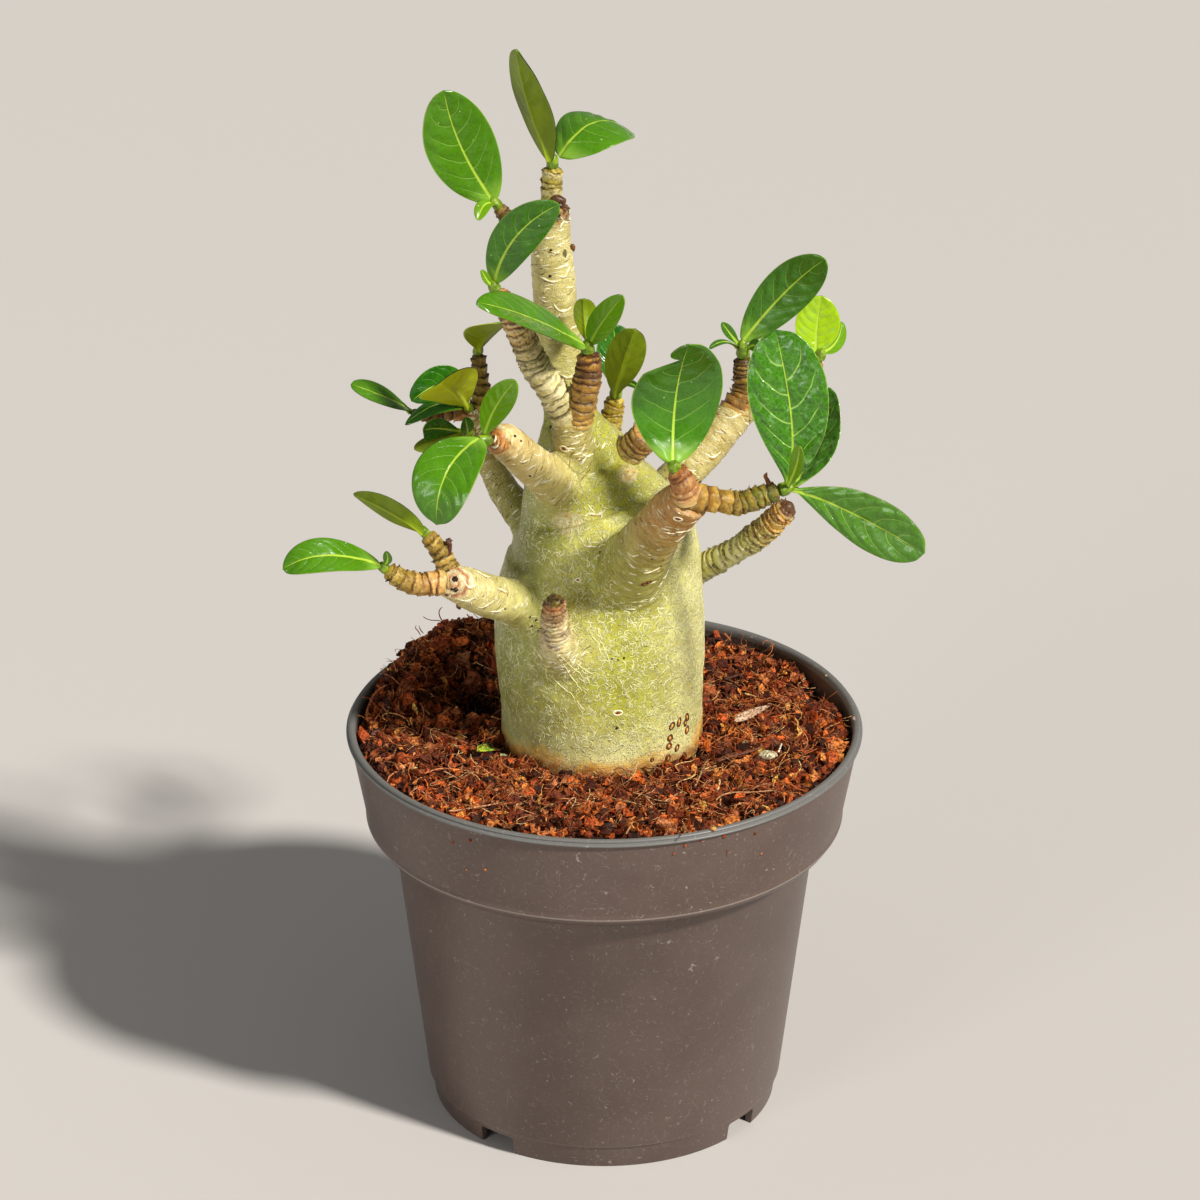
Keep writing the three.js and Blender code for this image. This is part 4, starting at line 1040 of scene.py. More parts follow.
def namedMarks():
    rng = random.Random(8)
    made = []
    for pixels in longLines:
        steps = np.arange(0, len(pixels) - 0.9, 0.4)
        spread = [np.interp(steps, range(len(pixels)), column) for column in zip(*pixels)]
        rows = [markHit(u + rng.uniform(-0.9, 0.9), v + rng.uniform(-0.6, 0.6)) for u, v in zip(*spread)]
        rows = [row for row in rows if row]
        radius = [0.06 + 0.06 * math.sin(math.pi * (k + 0.5) / len(rows)) for k in range(len(rows))]
        made.append(ridge(rows, radius, marks["pale"]))
    for u, v, wide, tall in barkMarks["crescents"]:
        spot = markHit(u, v)
        if spot is None:
            continue
        tilt, bow = rng.gauss(0, 0.2), tall * rng.uniform(0.3, 0.8)
        side = Matrix.Rotation(tilt, 3, spot[1]) @ (Vector((1, 0, 0)) - spot[1] * spot[1].x).normalized()
        up = spot[1].cross(side)
        wave = rng.uniform(0, 6)
        rows = []
        for k in range(13):
            share = k / 6 - 1
            rise = bow * (share**2 - 0.4) + 0.12 * math.sin(share * 4 + wave)
            found = barkTree.find_nearest(spot[0] + side * share * wide * 0.8 + up * rise)
            rows.append((found[0], found[1]))
        size = min(0.5, 0.16 + 0.14 * tall)
        radius = [0.04 + size * (1 - (k / 6 - 1) ** 2) * (0.75 + 0.35 * math.sin(k * 1.3 + wave))
                  for k in range(13)]
        shade = rng.uniform(0.88, 1.0)
        made.append(ridge(rows, radius, [c * shade for c in marks["cream"]]))
        if rng.random() < 0.45:
            dark = [(place - up * (size + 0.1), normal) for place, normal in rows[3:-3]]
            made.append(ridge(dark, [0.1] * len(dark), marks["shade"]))
    for u, v, size in barkMarks["eyes"]:
        spot = markHit(u, v)
        rim = loopRows(spot, size * 0.7, size * 0.4, rng.uniform(-25, 25))
        heart = loopRows(spot, size * 0.22, size * 0.12, 0, 8)
        made.append(ridge(rim, [0.1 + 0.06 * size] * len(rim), marks["cream"], True))
        made.append(ridge(heart, [0.14 + 0.05 * size] * len(heart), marks["heart"], True))
    for u, v, wide, tall, tilt in brownRings:
        spot = markHit(u, v)
        shade = rng.uniform(0.75, 1.15)
        heart = loopRows(spot, wide * 0.22, tall * 0.28, tilt, 8)
        rim = loopRows(spot, wide * 0.72, tall * 0.78, tilt)
        radius = [0.3 * rng.uniform(0.7, 1.3) for _ in rim]
        made.append(ridge(heart, [0.24] * len(heart), marks["gold"], True))
        made.append(ridge(rim, radius, [c * shade for c in marks["brown"]], True))
    for u, v, size in barkMarks["dots"]:
        spot = markHit(u, v)
        if spot:
            rows = loopRows(spot, size * 0.28, size * 0.22, 0, 6)
            made.append(ridge(rows, [size * 0.6] * len(rows), marks["dark"], True))
    return made


# Dried stipules and spurs: depth of their plane, tone, and pixels with a radius in millimetres
driedBits = [
    (-26.5, (92, 44, 22), [(447, 558, 0.9), (448.5, 552, 0.6), (450, 546, 0.5), (448, 540, 0.6),
                           (453, 541, 0.35)]),
    (-24.5, (120, 66, 30), [(457, 603, 0.8), (459, 607, 0.6), (460, 610, 0.25)]),
    (-38.5, (150, 84, 40), [(770, 487, 0.7), (768, 481, 0.45), (765.5, 477, 0.5), (767, 472, 0.2)]),
    (4.5, (120, 72, 32), [(562, 206, 0.8), (567, 207.5, 0.55), (570.5, 209, 0.3)]),
    (1.5, (96, 54, 24), [(551, 204, 0.9), (556, 199, 1.0), (562, 201, 0.9), (565, 205, 0.7)]),
    (1, (196, 150, 84), [(549, 209, 0.8), (553, 214, 0.9), (558, 211, 0.9), (563, 214, 0.7)]),
    (1.2, (84, 50, 22), [(553, 207, 0.6), (559, 205, 0.8), (563, 209, 0.6)]),
    (0.5, (150, 96, 40), [(571, 244, 0.8), (573, 248, 0.6), (574, 252, 0.3)]),
    (-31.2, (70, 36, 14), [(548, 602, 0.5), (545, 603.5, 0.4), (542, 607, 0.2)]),
    (-31.2, (110, 58, 22), [(561, 604, 0.5), (563, 600.5, 0.4), (563.5, 597, 0.2)]),
    (-31.6, (86, 60, 20), [(552, 600, 0.6), (554.5, 597, 0.5), (555.5, 594, 0.2)]),
    (-31.6, (96, 76, 24), [(557, 601, 0.5), (558.5, 598.5, 0.4), (559, 596.5, 0.2)]),
]


def makeDriedBits():
    parts = []
    for depth, tone, points in driedBits:
        bm = tubeAlong([(*atDepth(u, v, depth), radius) for u, v, radius in points], 10, 0.3)
        places = vertsOf(bm)
        shade = 0.8 + 0.5 * grainOf(places, 0.5, 3)
        paintVerts(bm, np.column_stack([srgb(*tone) * shade[:, None], np.full(len(shade), 0.1)]))
        for vert, lift in zip(bm.verts, grainOf(places, 0.7, 9)):
            vert.co += Vector((lift, -lift, lift)) * 0.16
        parts.append(newObject("driedBit", bm, [barkSkin]))
    declare(joined("dried_spurs", parts), "bark", ["caudex_and_branches"])


markSkin = markMaterial()
makeDriedBits()
makeRidges("bark_strokes", caudexStrokes())
makeRidges("bark_marks", branchStrokes() + namedMarks(), 6)

# Ringed shoots
shoot = {"step": 0.13, "facet": 0.26, "groove": 0.2, "lip": 0.46, "tilt": 0.26, "teeth": 2.6, "spacing": 1.22,
         "strokes": 0.12, "foot": (226, 214, 140),
         "toothTones": [(52, 28, 12), (74, 42, 18), (104, 62, 26), (40, 24, 14)]}


def ringRows(length, pitch, rng):
    # distances of the leaf-scar rings along a shoot, closer towards the tip, each one tilted
    rows, s = [], 0.3
    while s < length - 0.5:
        gap = (pitch[0] + (pitch[1] - pitch[0]) * s / length) * shoot["spacing"]
        rows.append((s, gap * shoot["tilt"] * rng.uniform(0.3, 1.0), rng.uniform(0, math.tau), gap))
        s += gap * rng.uniform(0.55, 1.3)
    return rows


def makeShoot(name, axis, seed):
    rng = random.Random(seed)
    path = layPath(axis["points"])
    length = path["s"][-1]
    wide = max(point[3] for point in axis["points"][1:])
    bm, turn, share = flatGrid(round(math.tau * wide / shoot["facet"]), round(length / shoot["step"]))
    s = share * length
    found = pathAt(path, s)
    angle = turn * math.tau
    circle = np.column_stack([np.cos(angle), np.sin(angle)])
    rings = ringRows(length, axis["pitch"], rng)
    lines = np.stack([at + lean * np.cos(angle - way) + 0.06 * gap * np.sin(3 * angle + at * 5)
                      + 0.04 * gap * np.sin(7 * angle + at * 3) for at, lean, way, gap in rings])
    lines = np.sort(np.vstack([np.full(len(s), -1.0), lines, np.full(len(s), length + 0.6)]), axis=0)
    band = (lines <= s).sum(axis=0).clip(1, len(lines) - 1)
    column = np.arange(len(s))
    lower, upper = lines[band - 1, column], lines[band, column]
    gapHere = np.maximum(upper - lower, 0.4)
    up, down = np.maximum(upper - s, 0), np.maximum(s - lower, 0)
    bandTone = np.array([rng.uniform(0, 1) for _ in range(len(lines) + 1)])[band]
    bandSize = np.array([rng.uniform(-0.05, 0.05) for _ in range(len(lines) + 1)])[band]
    rough = grainOf(np.column_stack([circle * 2.4, s * 0.8]), 1.0, seed)
    fine = grainOf(np.column_stack([circle * 6.0, s * 1.5]), 1.0, seed + 5)
    # each ring fades in and out as it goes round
    vary = np.clip(0.7 + 0.8 * grainOf(np.column_stack([circle * 1.6, band * 3.7]), 1.0, seed + 9), 0.1, 1.3)
    # a band swells towards its upper edge and drops sharply to the next, as scales that overlap
    swell = np.clip(down / gapHere, 0, 1)
    groove = np.exp(-(((down - 0.2) / axis.get("line", 0.19)) ** 2)) * vary
    radius = found["radius"] * (0.95 + bandSize) + axis.get("lip", shoot["lip"]) * swell**1.6 * (0.4 + 0.6 * vary)
    radius += 0.09 * rough + 0.05 * fine - shoot["groove"] * groove
    ends = np.sqrt(np.clip(np.minimum(s / 0.7, (length - s) / axis.get("taper", 0.7)), 0, 1))
    places = tubePlaces(found, turn, radius * ends)
    # tones: low to high on the shoot, a different shade in each band, a pale crest that is partly a painted
    # highlight, and a dark line that is partly painted shade
    low, high, crest, grooveTone = (srgb(*tone) for tone in axis["tones"])
    change = axis.get("change", 0.1)
    run = np.clip(smoothStep(change, 0.95, s / length) + 0.25 * rough, 0, 1)
    colour = blend(low, high, run)
    colour *= axis.get("gain", 1.0) * (0.66 + 0.6 * bandTone + 0.3 * fine)[:, None]
    patch = smoothStep(0.1, 0.4, rough) * smoothStep(0.75, 0.2, s / length) * 0.7
    colour = blend(colour, crest, patch)
    # the crest near the top of a band: its own pale edge, and a painted highlight
    pale = np.clip(smoothStep(0.3, 0.8, swell) * smoothStep(0.0, 0.14, up) * (0.3 + 0.95 * bandTone) * vary, 0, 1)
    colour = blend(colour, crest, pale * 0.9)
    # dark at the drop under each lip and in the groove: its own dark line, and painted shade
    dark = np.clip(groove + 0.5 * np.exp(-((up / 0.09) ** 2)) * vary, 0, 1)
    colour = blend(colour, grooveTone, dark)
    # brown dry patches, mostly near the upper edge of a band
    dry = smoothStep(0.0, 0.45, grainOf(np.column_stack([circle * 2.0, s * 1.1]), 1.0, seed + 2))
    colour = blend(colour, grooveTone * 1.6, 0.5 * dry * (0.3 + 0.7 * swell))
    pits = smoothStep(0.15, 0.45, -fine) * smoothStep(0.2, 0.7, s / length)
    colour = blend(colour, grooveTone, 0.6 * pits)
    if "tip" in axis:
        # the end of a stub is dry and ragged
        cut = srgb(*axis["tip"]) * (0.75 + 0.9 * np.clip(fine + 0.3 * rough, -0.6, 0.8))[:, None]
        colour = blend(colour, cut, smoothStep(length - 2.4, length - 1.4, s + 0.6 * rough))
    colour = blend(colour, srgb(*shoot["foot"]), smoothStep(2.6, 0.4, s) * 0.6)
    paintVerts(bm, np.column_stack([np.clip(colour, 0, 1), np.full(len(s), shoot["strokes"])]))
    wrapGrid(bm, places)
    return newObject(name, bm, [barkSkin]), driedTeeth(name, path, rings, rng, wide)


def driedTeeth(name, path, rings, rng, wide):
    # dry scale tips that stand out of the rings
    bm = bmesh.new()
    paint = bm.verts.layers.float_color.new("paint")
    length = path["s"][-1]
    for at, lean, way, _ in rings[1:]:
        for _ in range(int(rng.uniform(0.6, shoot["teeth"] + 1))):
            turn = rng.uniform(0, math.tau)
            s = min(at + lean * math.cos(turn - way) - 0.1, length - 0.2)
            spot = spotOf(path, s)
            out = spot["across"] * math.cos(turn) + spot["other"] * math.sin(turn)
            start = spot["centre"] + out * (spot["radius"] - 0.1)
            size = rng.uniform(0.35, 1.0) * min(1, wide / 2.2)
            made = bmesh.ops.create_cone(bm, cap_ends=True, segments=5, radius1=size * 0.3, radius2=size * 0.08,
                                         depth=size * 1.3)["verts"]
            lay = (out * rng.uniform(0.7, 1.0) + spot["along"] * rng.uniform(0.1, 0.9)).to_track_quat("Z", "Y")
            bmesh.ops.transform(bm, matrix=lay.to_matrix().to_4x4(), verts=made)
            bmesh.ops.translate(bm, vec=start + out * size * 0.3, verts=made)
            tone = rng.choice(shoot["toothTones"])
            for vert in made:
                vert[paint] = (*srgb(*tone), 0.0)
    return newObject(name + "Teeth", bm, [barkSkin], smooth=False)


def makeShoots():
    groups = {"ringed_shoots_upper": ("leaderShoot", "twig", "leftShoot", "middleShoot", "lowShoot",
                                      "shoulderStub", "backShoot", "farShoot"),
              "ringed_shoots_lower": ("sideShoot", "lowerLeftShoot", "upperLeftShoot", "frontStub", "frontKnob",
                                      "rightShoot", "lowerRightShoot")}
    for group, names in groups.items():
        parts = []
        for i, name in enumerate(names):
            parts += makeShoot(name, shootAxes[name], 11 + 7 * i + len(group))
        declare(joined(group, parts), "bark", ["caudex_and_branches"])
        print(group, "made", len(parts[0].data.polygons), "faces")


makeShoots()

# Leaves. Each row holds the base, middle and tip of the midrib, the blade width, the roll about the
# midrib in degrees from the side that faces straight up, the outline, the look of the upper side, and
# what else is the leaf's own: fold of the halves in degrees, puff of the cells between the veins, painted
# backlight, a lighter underside that stands in for light shining through it, and the notch and hook of a damaged
# tip
outlines = {"oval": (0.65, 0.57), "lance": (0.58, 0.7), "round": (0.92, 0.57), "spoon": (1.3, 0.52)}
leafLooks = {
    # lightness, yellow, strength of the veins
    "deep": (0.26, 0.05, 0.34), "mid": (0.44, 0.1, 0.34), "young": (0.6, 0.28, 0.3), "dark": (0.05, 0.0, 0.3),
    "gloss": (0.42, 0.03, 0.85), "bright": (0.68, 0.1, 0.6), "lime": (1.0, 0.9, 0.6), "fresh": (0.8, 0.3, 0.35),
}
leaf = {
    "veins": 6.5, "veinRise": 0.26, "veinBend": 1.7, "puff": 0.12, "edge": 0.2, "blade": 0.42, "ribDepth": 0.5,
    "deep": (18, 80, 0), "light": (64, 134, 0), "yellow": (160, 196, 0), "vein": (158, 200, 90),
    "ribTone": (176, 206, 62), "margin": (160, 190, 70), "under": (92, 118, 0), "underLight": (168, 182, 20),
}
shoots = [
    {"name": "leaves_leader", "tip": "leaderShoot", "slot": "leaf_olive", "bud": (1.7, 3.2), "leaves": [
        ((-11.5, 4.2, 232.6), (-16.5, 5.5, 246), (-19, -5, 262.5), 11.7, -5, "lance", "deep", {"fold": 14}),
        ((-10.2, 5.6, 233.3), (-2, 11.5, 239.5), (6.5, 20, 233.5), 17, 10, "lance", "mid", {"fold": -8})]},
    {"name": "leaves_twig", "tip": "twig", "slot": "leaf_green", "bud": (1.5, 3), "leaves": [
        ((-24.3, 1.4, 224), (-31.5, -2.5, 238.5), (-35, -9, 254), 15.8, -120, "oval", "mid", {}),
        ((-24, 1.6, 223.6), (-26.5, -1, 224.6), (-28, -4, 222), 3.4, -20, "round", "young", {})]},
    {"name": "leaves_left", "tip": "leftShoot", "slot": "leaf_green", "bud": (1.7, 2.6), "leaves": [
        ((-24.5, -13, 210.3), (-19.5, -18, 223.5), (-10, -23, 233), 10, 105, "oval", "deep", {}),
        ((-24.6, -13.4, 210.2), (-25.8, -15, 212.2), (-27, -16, 215), 2, -90, "round", "young", {})]},
    {"name": "leaves_middle", "tip": "middleShoot", "slot": "leaf_young", "bud": (1.9, 3.2), "leaves": [
        ((-4.4, -11.8, 195.6), (-16.5, -26, 208), (-27.5, -36, 215.5), 12.8, -30, "lance", "mid", {}),
        ((-3.4, -11, 194.7), (-1, -14, 201), (4, -19, 210), 6.4, 110, "round", "fresh", {"fold": 14}),
        ((-3.6, -10.2, 194.6), (-4.2, -5.5, 198), (-4.5, -4, 203.5), 5.5, 160, "spoon", "dark", {})]},
    {"name": "leaves_low", "tip": "lowShoot", "slot": "leaf_olive", "bud": (1.8, 2.6), "leaves": [
        ((2.2, 9.6, 175.5), (3, 19, 176.6), (2, 24, 185.5), 10.2, 15, "spoon", "dark", {}),
        ((2.5, 8.3, 175.2), (3.5, 3, 182.5), (7, -1, 195), 8.8, -35, "spoon", "deep", {}),
        ((3.1, 8.5, 175.4), (5.4, 6, 178.6), (7.6, 3, 178.5), 1.8, 40, "round", "deep", {})]},
    {"name": "leaves_stub", "tip": "leftStubTip", "slot": "leaf_young", "bud": (1.8, 3.4), "leaves": [
        ((-26.8, -27.2, 179.6), (-24, -31, 188.5), (-19.5, -35, 196.5), 6.8, 120, "round", "young", {"fold": 14}),
        ((-27.2, -28.2, 180.3), (-34.5, -41, 177.5), (-37, -43, 165.5), 14.8, -10, "oval", "mid", {})]},
    {"name": "leaves_back", "tip": "backShoot", "slot": "leaf_olive", "bud": (1.5, 2.2), "leaves": [
        ((-29, 18, 181.9), (-27, 14.5, 187), (-22.5, 8, 193), 13.6, 0, "spoon", "mid",
         {"fold": 16, "glow": 0.4})]},
    {"name": "leaves_knot", "tip": "knot", "slot": "leaf_olive", "bud": (1.3, 2.6), "leaves": [
        ((-31.7, 14.2, 169.5), (-34, 3, 178), (-37, -2, 182.5), 14.9, 35, "spoon", "dark", {"glow": 0.95}),
        ((-31.8, 14.2, 169.8), (-36.5, 11.5, 176), (-44, 9.5, 172.5), 9, -70, "oval", "dark", {}),
        ((-31.9, 14, 169.6), (-38, 9.5, 172), (-45.5, 6, 168.5), 5.8, -10, "lance", "dark", {"fold": -8})]},
    {"name": "leaves_side", "tip": "sideShoot", "slot": "leaf_green", "bud": (1.3, 2.2), "leaves": [
        ((-43.5, 13.8, 168.2), (-49, 8, 174), (-57.5, 6, 178.5), 6.2, -35, "spoon", "mid", {})]},
    {"name": "leaves_shade", "tip": "shadedShoot", "slot": "leaf_green", "bud": (1.4, 2.8), "leaves": [
        ((-32, 11.8, 163.8), (-37.5, 4.5, 168), (-41, 1, 169), 6.4, -110, "spoon", "dark", {}),
        ((-31.9, 11.5, 163.6), (-37.5, 6, 164.2), (-43.2, 1, 164.2), 5, 155, "oval", "dark", {}),
        ((-31.2, 12.2, 163.4), (-31.2, 8.6, 166), (-31.6, 6, 170), 3.6, -145, "round", "dark", {})]},
    {"name": "leaves_lower_left", "tip": "lowerLeftShoot", "slot": "leaf_young", "bud": (1.5, 2.4), "leaves": [
        ((-49.4, -31.6, 150.6), (-61.5, -39, 156.5), (-71.2, -40, 153.5), 8.9, -35, "oval", "mid", {}),
        ((-49.1, -31.6, 150.4), (-48.2, -33, 152.6), (-48.5, -34, 155), 2.2, 155, "round", "mid", {})]},
    {"name": "leaves_upper_left", "tip": "upperLeftShoot", "slot": "leaf_olive", "bud": (1.4, 2.2), "leaves": [
        ((-40.3, -26, 156.3), (-48, -26, 161.5), (-56, -18, 162), 6.3, 85, "lance", "mid", {"fold": 18})]},
    {"name": "leaves_front", "tip": "frontKnob", "slot": "leaf_green", "bud": (1.8, 2.2), "leaves": [
        ((14.9, -44.9, 181), (15.5, -40.5, 195), (18, -52, 212), 20.4, 170, "oval", "deep",
         {"fold": 7, "notch": 0.835, "hook": 3.2})]},
    {"name": "leaves_right", "tip": "rightShoot", "slot": "leaf_green", "bud": (1.9, 3.4), "leaves": [
        ((39.6, -38, 172.4), (41, -38.5, 186.5), (37, -36, 209), 17.8, -55, "spoon", "gloss", {"puff": 1.6}),
        ((41.2, -37, 172), (45.5, -28.5, 176.5), (49.5, -22, 189.5), 14.4, -15, "round", "gloss", {}),
        ((41, -38, 171.8), (53, -41.5, 168.5), (69.8, -50, 162), 13.5, 90, "spoon", "bright",
         {"fold": 8, "puff": 1.3}),
        ((40, -38.8, 172.8), (41.8, -43, 180), (42.2, -45, 185.5), 3.8, 120, "round", "fresh", {"fold": 14})]},
    {"name": "leaves_far", "tip": "farShoot", "slot": "leaf_green", "bud": (1.9, 4.4), "leaves": [
        ((31.6, 26, 180.2), (41.5, 24.5, 193.5), (50, 19, 203.5), 11.4, 95, "oval", "deep", {}),
        ((31, 26, 179.8), (29, 25, 182.8), (27, 23, 186.4), 2.5, -105, "round", "deep", {}),
        ((30.9, 26, 179.2), (27.5, 24, 181.4), (24, 22, 180.5), 2.4, -5, "round", "deep", {}),
        ((32.6, 25.6, 178.9), (34.3, 24, 180.4), (35.4, 22.4, 180), 3.2, 70, "round", "deep", {})]},
    {"name": "leaves_tip", "tip": "farTwig", "slot": "leaf_lime", "bud": (1.7, 2.6), "leaves": [
        ((48.8, 27.8, 176.9), (49, 29.5, 183), (50, 30.5, 190), 10.8, 30, "oval", "lime", {"fold": 14}),
        ((50, 28.4, 176.8), (53.6, 33, 177.4), (55.2, 37, 181), 4.2, 60, "round", "young", {})]},
]


def leafMaterial(name, under):
    # the blade map holds the share along the midrib and across the blade, the width map its real width
    constants = {"Specular IOR Level": 0.42, "Coat Weight": 0.1, "Coat Roughness": 0.24}
    material, tree, shader = newMaterial(name, {"Specular IOR Level": 0.28} if under else constants)
    maps = {}
    for key in ("blade", "width"):
        node = tree.nodes.new("ShaderNodeUVMap")
        node.uv_map = key
        maps[key] = Shade(tree, node.outputs[0])
    t = component(maps["blade"], "X")
    v = component(maps["blade"], "Y") * 2 - 1
    m = abs(v)
    across = abs((component(maps["width"], "X") - 0.5) * 20)
    look = attribute(tree, "look")
    light, yellow, veined = (component(look, channel, "Color") for channel in ("Red", "Green", "Blue"))
    place = millimetres(tree)
    # midrib, broad at the base; side veins that bend towards the tip; a fine net between them
    rib = 1 - fade(across / ((1 - t) * 0.36 + 0.07), 0.6, 1.15)
    rib = rib * (1 - fade(t, 0.9, 1.0))
    bend = m ** leaf["veinBend"] * leaf["veinRise"]
    wander = (grain(place, 0.2, 1) - 0.5) * 0.05
    order = (t - bend + wander) * leaf["veins"] + fade(v, -0.001, 0.001) * 0.45
    vein = 1 - fade(abs(order.calc("FRACT", order) - 0.5), 0.012, 0.055)
    vein = vein * (1 - fade(m, 0.62, 0.86)) * (fade(t, 0.06, 0.14) * (1 - fade(t, 0.86, 0.95)))
    netCells = cells(place, 0.85, "DISTANCE_TO_EDGE")
    margin = fade(m, 0.972, 0.988)
    cloud = grain(place, 0.18, 3, 0.55)
    if under:
        colour = mix(fade(cloud, 0.35, 0.65), leaf["under"], (112, 136, 4))
        # painted backlight: the underside is lightened towards yellow-green by the look's last share, as light
        # shining through the blade
        colour = mix(attribute(tree, "look", "Alpha"), colour, (190, 200, 20))
        colour = mix(vein * 0.22, colour, leaf["underLight"])
        colour = mix(rib * 0.6, colour, leaf["underLight"])
        colour = mix(margin * 0.6, colour, (176, 190, 90))
        roughness = cloud * 0.16 + 0.42
    else:
        colour = mix(light, leaf["deep"], leaf["light"])
        colour = mix(fade(cloud, 0.35, 0.7) * 0.4, colour, (66, 132, 6))
        colour = mix(yellow, colour, leaf["yellow"])
        foot = 1 - fade(t, 0.02, 0.2)
        colour = mix(foot * 0.7, colour, (140, 186, 48))
        net = 1 - fade(netCells, 0.03, 0.16)
        colour = mix(net * (veined * 0.2), colour, (124, 176, 84))
        # painted sheen: pale blotches on glossy leaves that stand in for reflections of light
        sheen = fade(grain(place, 0.42, 3, 0.7), 0.52, 0.66) * (veined ** 3 * 0.55)
        colour = mix(sheen, colour, (150, 196, 130))
        colour = mix(vein * (veined * 0.9), colour, leaf["vein"])
        colour = mix(rib * 0.9, colour, leaf["ribTone"])
        colour = mix(margin * 0.55, colour, leaf["margin"])
        dot = 1 - fade(cells(place, 0.3), 0.04, 0.07)
        colour = mix(dot * 0.5, colour, (214, 228, 170))
        roughness = cloud * 0.16 + 0.18 + foot * 0.7 - veined * 0.09
    puffed = fade(cells(place, 0.3, "DISTANCE_TO_EDGE"), 0.0, 0.4) * veined ** 3
    height = netCells * 0.25 + puffed * 3.5 + grain(place, 0.5, 2) * 1.2 - most(vein, rib) * 0.5
    finishMaterial(shader, colour, roughness, height, 0.08 if under else 0.14)
    return material


def budMaterial():
    material, tree, shader = newMaterial("growingTip", {"Specular IOR Level": 0.5})
    place = millimetres(tree)
    colour = mix(fade(grain(place, 0.7, 3), 0.35, 0.65), (78, 108, 8), (128, 156, 20))
    finishMaterial(shader, colour, 0.4, grain(place, 1.5, 2), 0.1)
    return material


def halfWidth(t, shape):
    widen, narrow = outlines[shape]
    peak = widen / (widen + narrow)
    top = peak**widen * (1 - peak) ** narrow
    return np.clip(t, 0, 1) ** widen * np.clip(1 - t, 0, 1) ** narrow / top / 2


def makeBlade(row):
    base, mid, tip = (np.array(place, float) for place in row[:3])
    widest, roll, outline, lookName, own = row[3:]
    reach = np.linalg.norm(tip - base)
    big = widest > 4
    bm, turn, share = flatGrid(84 if big else 36, 88 if big else 30)
    t = 0.5 * share + 0.25 * (1 - np.cos(math.pi * share))
    v = np.where(turn <= 0.5, 4 * turn - 1, 3 - 4 * turn)
    top = turn <= 0.5
    v = np.sign(v) * np.abs(v) ** 0.9
    m = np.abs(v)
    control = 2 * mid - 0.5 * base - 0.5 * tip
    centre = ((1 - t) ** 2)[:, None] * base + (2 * t * (1 - t))[:, None] * control + (t**2)[:, None] * tip
    along = 2 * (1 - t)[:, None] * (control - base) + 2 * t[:, None] * (tip - control)
    along /= np.linalg.norm(along, axis=1)[:, None]
    chord = Vector(tip - base).normalized()
    upright = (Vector((0, 0, 1)) - chord * chord.z).normalized()
    face = np.array(Matrix.Rotation(math.radians(roll), 3, chord) @ upright)
    up = face - along * along.dot(face)[:, None]
    up /= np.linalg.norm(up, axis=1)[:, None]
    side = np.cross(along, up)
    least = np.where(t < 0.5, 0.62, 0.3)
    right = np.maximum(widest * halfWidth(t, outline), least)
    left = right
    if "notch" in own:
        # the left lobe ends bluntly at the notch, and past it a small lobe hooks over the midrib
        notch, hook = own["notch"], own["hook"]
        blunt = 1 - smoothStep(notch - 0.09, notch, t) ** 2.2
        past = np.clip((t - notch - 0.012) / (1 - notch - 0.012), 0, 1)
        left = np.maximum(right * blunt, hook * np.sin(past ** 0.6 * math.pi) ** 0.6 * (past > 0))
        left = np.maximum(left, 0.12)
    out = np.where(v > 0, right, left) * m
    ends = np.sqrt(np.clip(np.minimum(share, 1 - share) * 26, 0, 1))
    out = out * ends
    lean = math.radians(own.get("fold", 10))
    lift = math.sin(lean) * (np.sqrt(out**2 + 1.0) - 1.0)
    # veins sink, the cells between them stand up, and the margin waves a little
    puff = leaf["puff"] * own.get("puff", 1) * min(1, widest / 12)
    order = (t - leaf["veinRise"] * m ** leaf["veinBend"]) * leaf["veins"] + np.where(v > 0, 0.45, 0)
    cell = 0.5 - 0.5 * np.cos(math.tau * (order - 0.5))
    calm = smoothStep(0.0, 0.14, m) * smoothStep(1.0, 0.8, m)
    calm *= smoothStep(0.04, 0.15, t) * smoothStep(0.99, 0.85, t)
    uneven = 1 + 1.2 * grainOf(np.column_stack([t * 5, v, t * 0]), 1.0, puff)
    relief = puff * (cell - 0.4) * calm * uneven - 0.1 * np.exp(-((out / 0.5) ** 2))
    shift = base[0] + base[2]
    places = centre + side * (np.sign(v) * out * math.cos(lean))[:, None]
    wave = 0.025 * widest * m**2 * grainOf(places, 7, shift) - 0.03 * widest * m**4
    relief = relief + 0.12 * min(1, widest / 10) * grainOf(places, 2.2, shift + 4) * smoothStep(1, 0.85, m)
    foot = np.exp(-((t / 0.1) ** 2))
    thick = leaf["edge"] + (leaf["blade"] - leaf["edge"]) * (1 - m**4)
    thick = thick + (leaf["ribDepth"] * (1 - 0.75 * t) + 0.5 * foot) * np.exp(-((out / 0.55) ** 2))
    thick = thick * ends * (0.55 if not big else 1)
    height = lift + wave + np.where(top, relief, relief * 0.7 - thick)
    places = places + up * height[:, None]
    for face in bm.faces:
        face.material_index = 0 if np.mean([turn[vert.index] for vert in face.verts]) < 0.5 else 1
        face.smooth = True
    blade = bm.loops.layers.uv.new("blade")
    width = bm.loops.layers.uv.new("width")
    for face in bm.faces:
        for loop in face.loops:
            i = loop.vert.index
            loop[blade].uv = (t[i], v[i] / 2 + 0.5)
            loop[width].uv = (np.sign(v[i]) * out[i] / 20 + 0.5, t[i] * reach / 50)
    # the look's last share is the painted backlight of the underside
    paintVerts(bm, [(*leafLooks[lookName], own.get("glow", 0.1))] * len(bm.verts), "look")
    wrapGrid(bm, places)
    return newObject("blade", bm, [leafTop, leafUnder, budSkin])


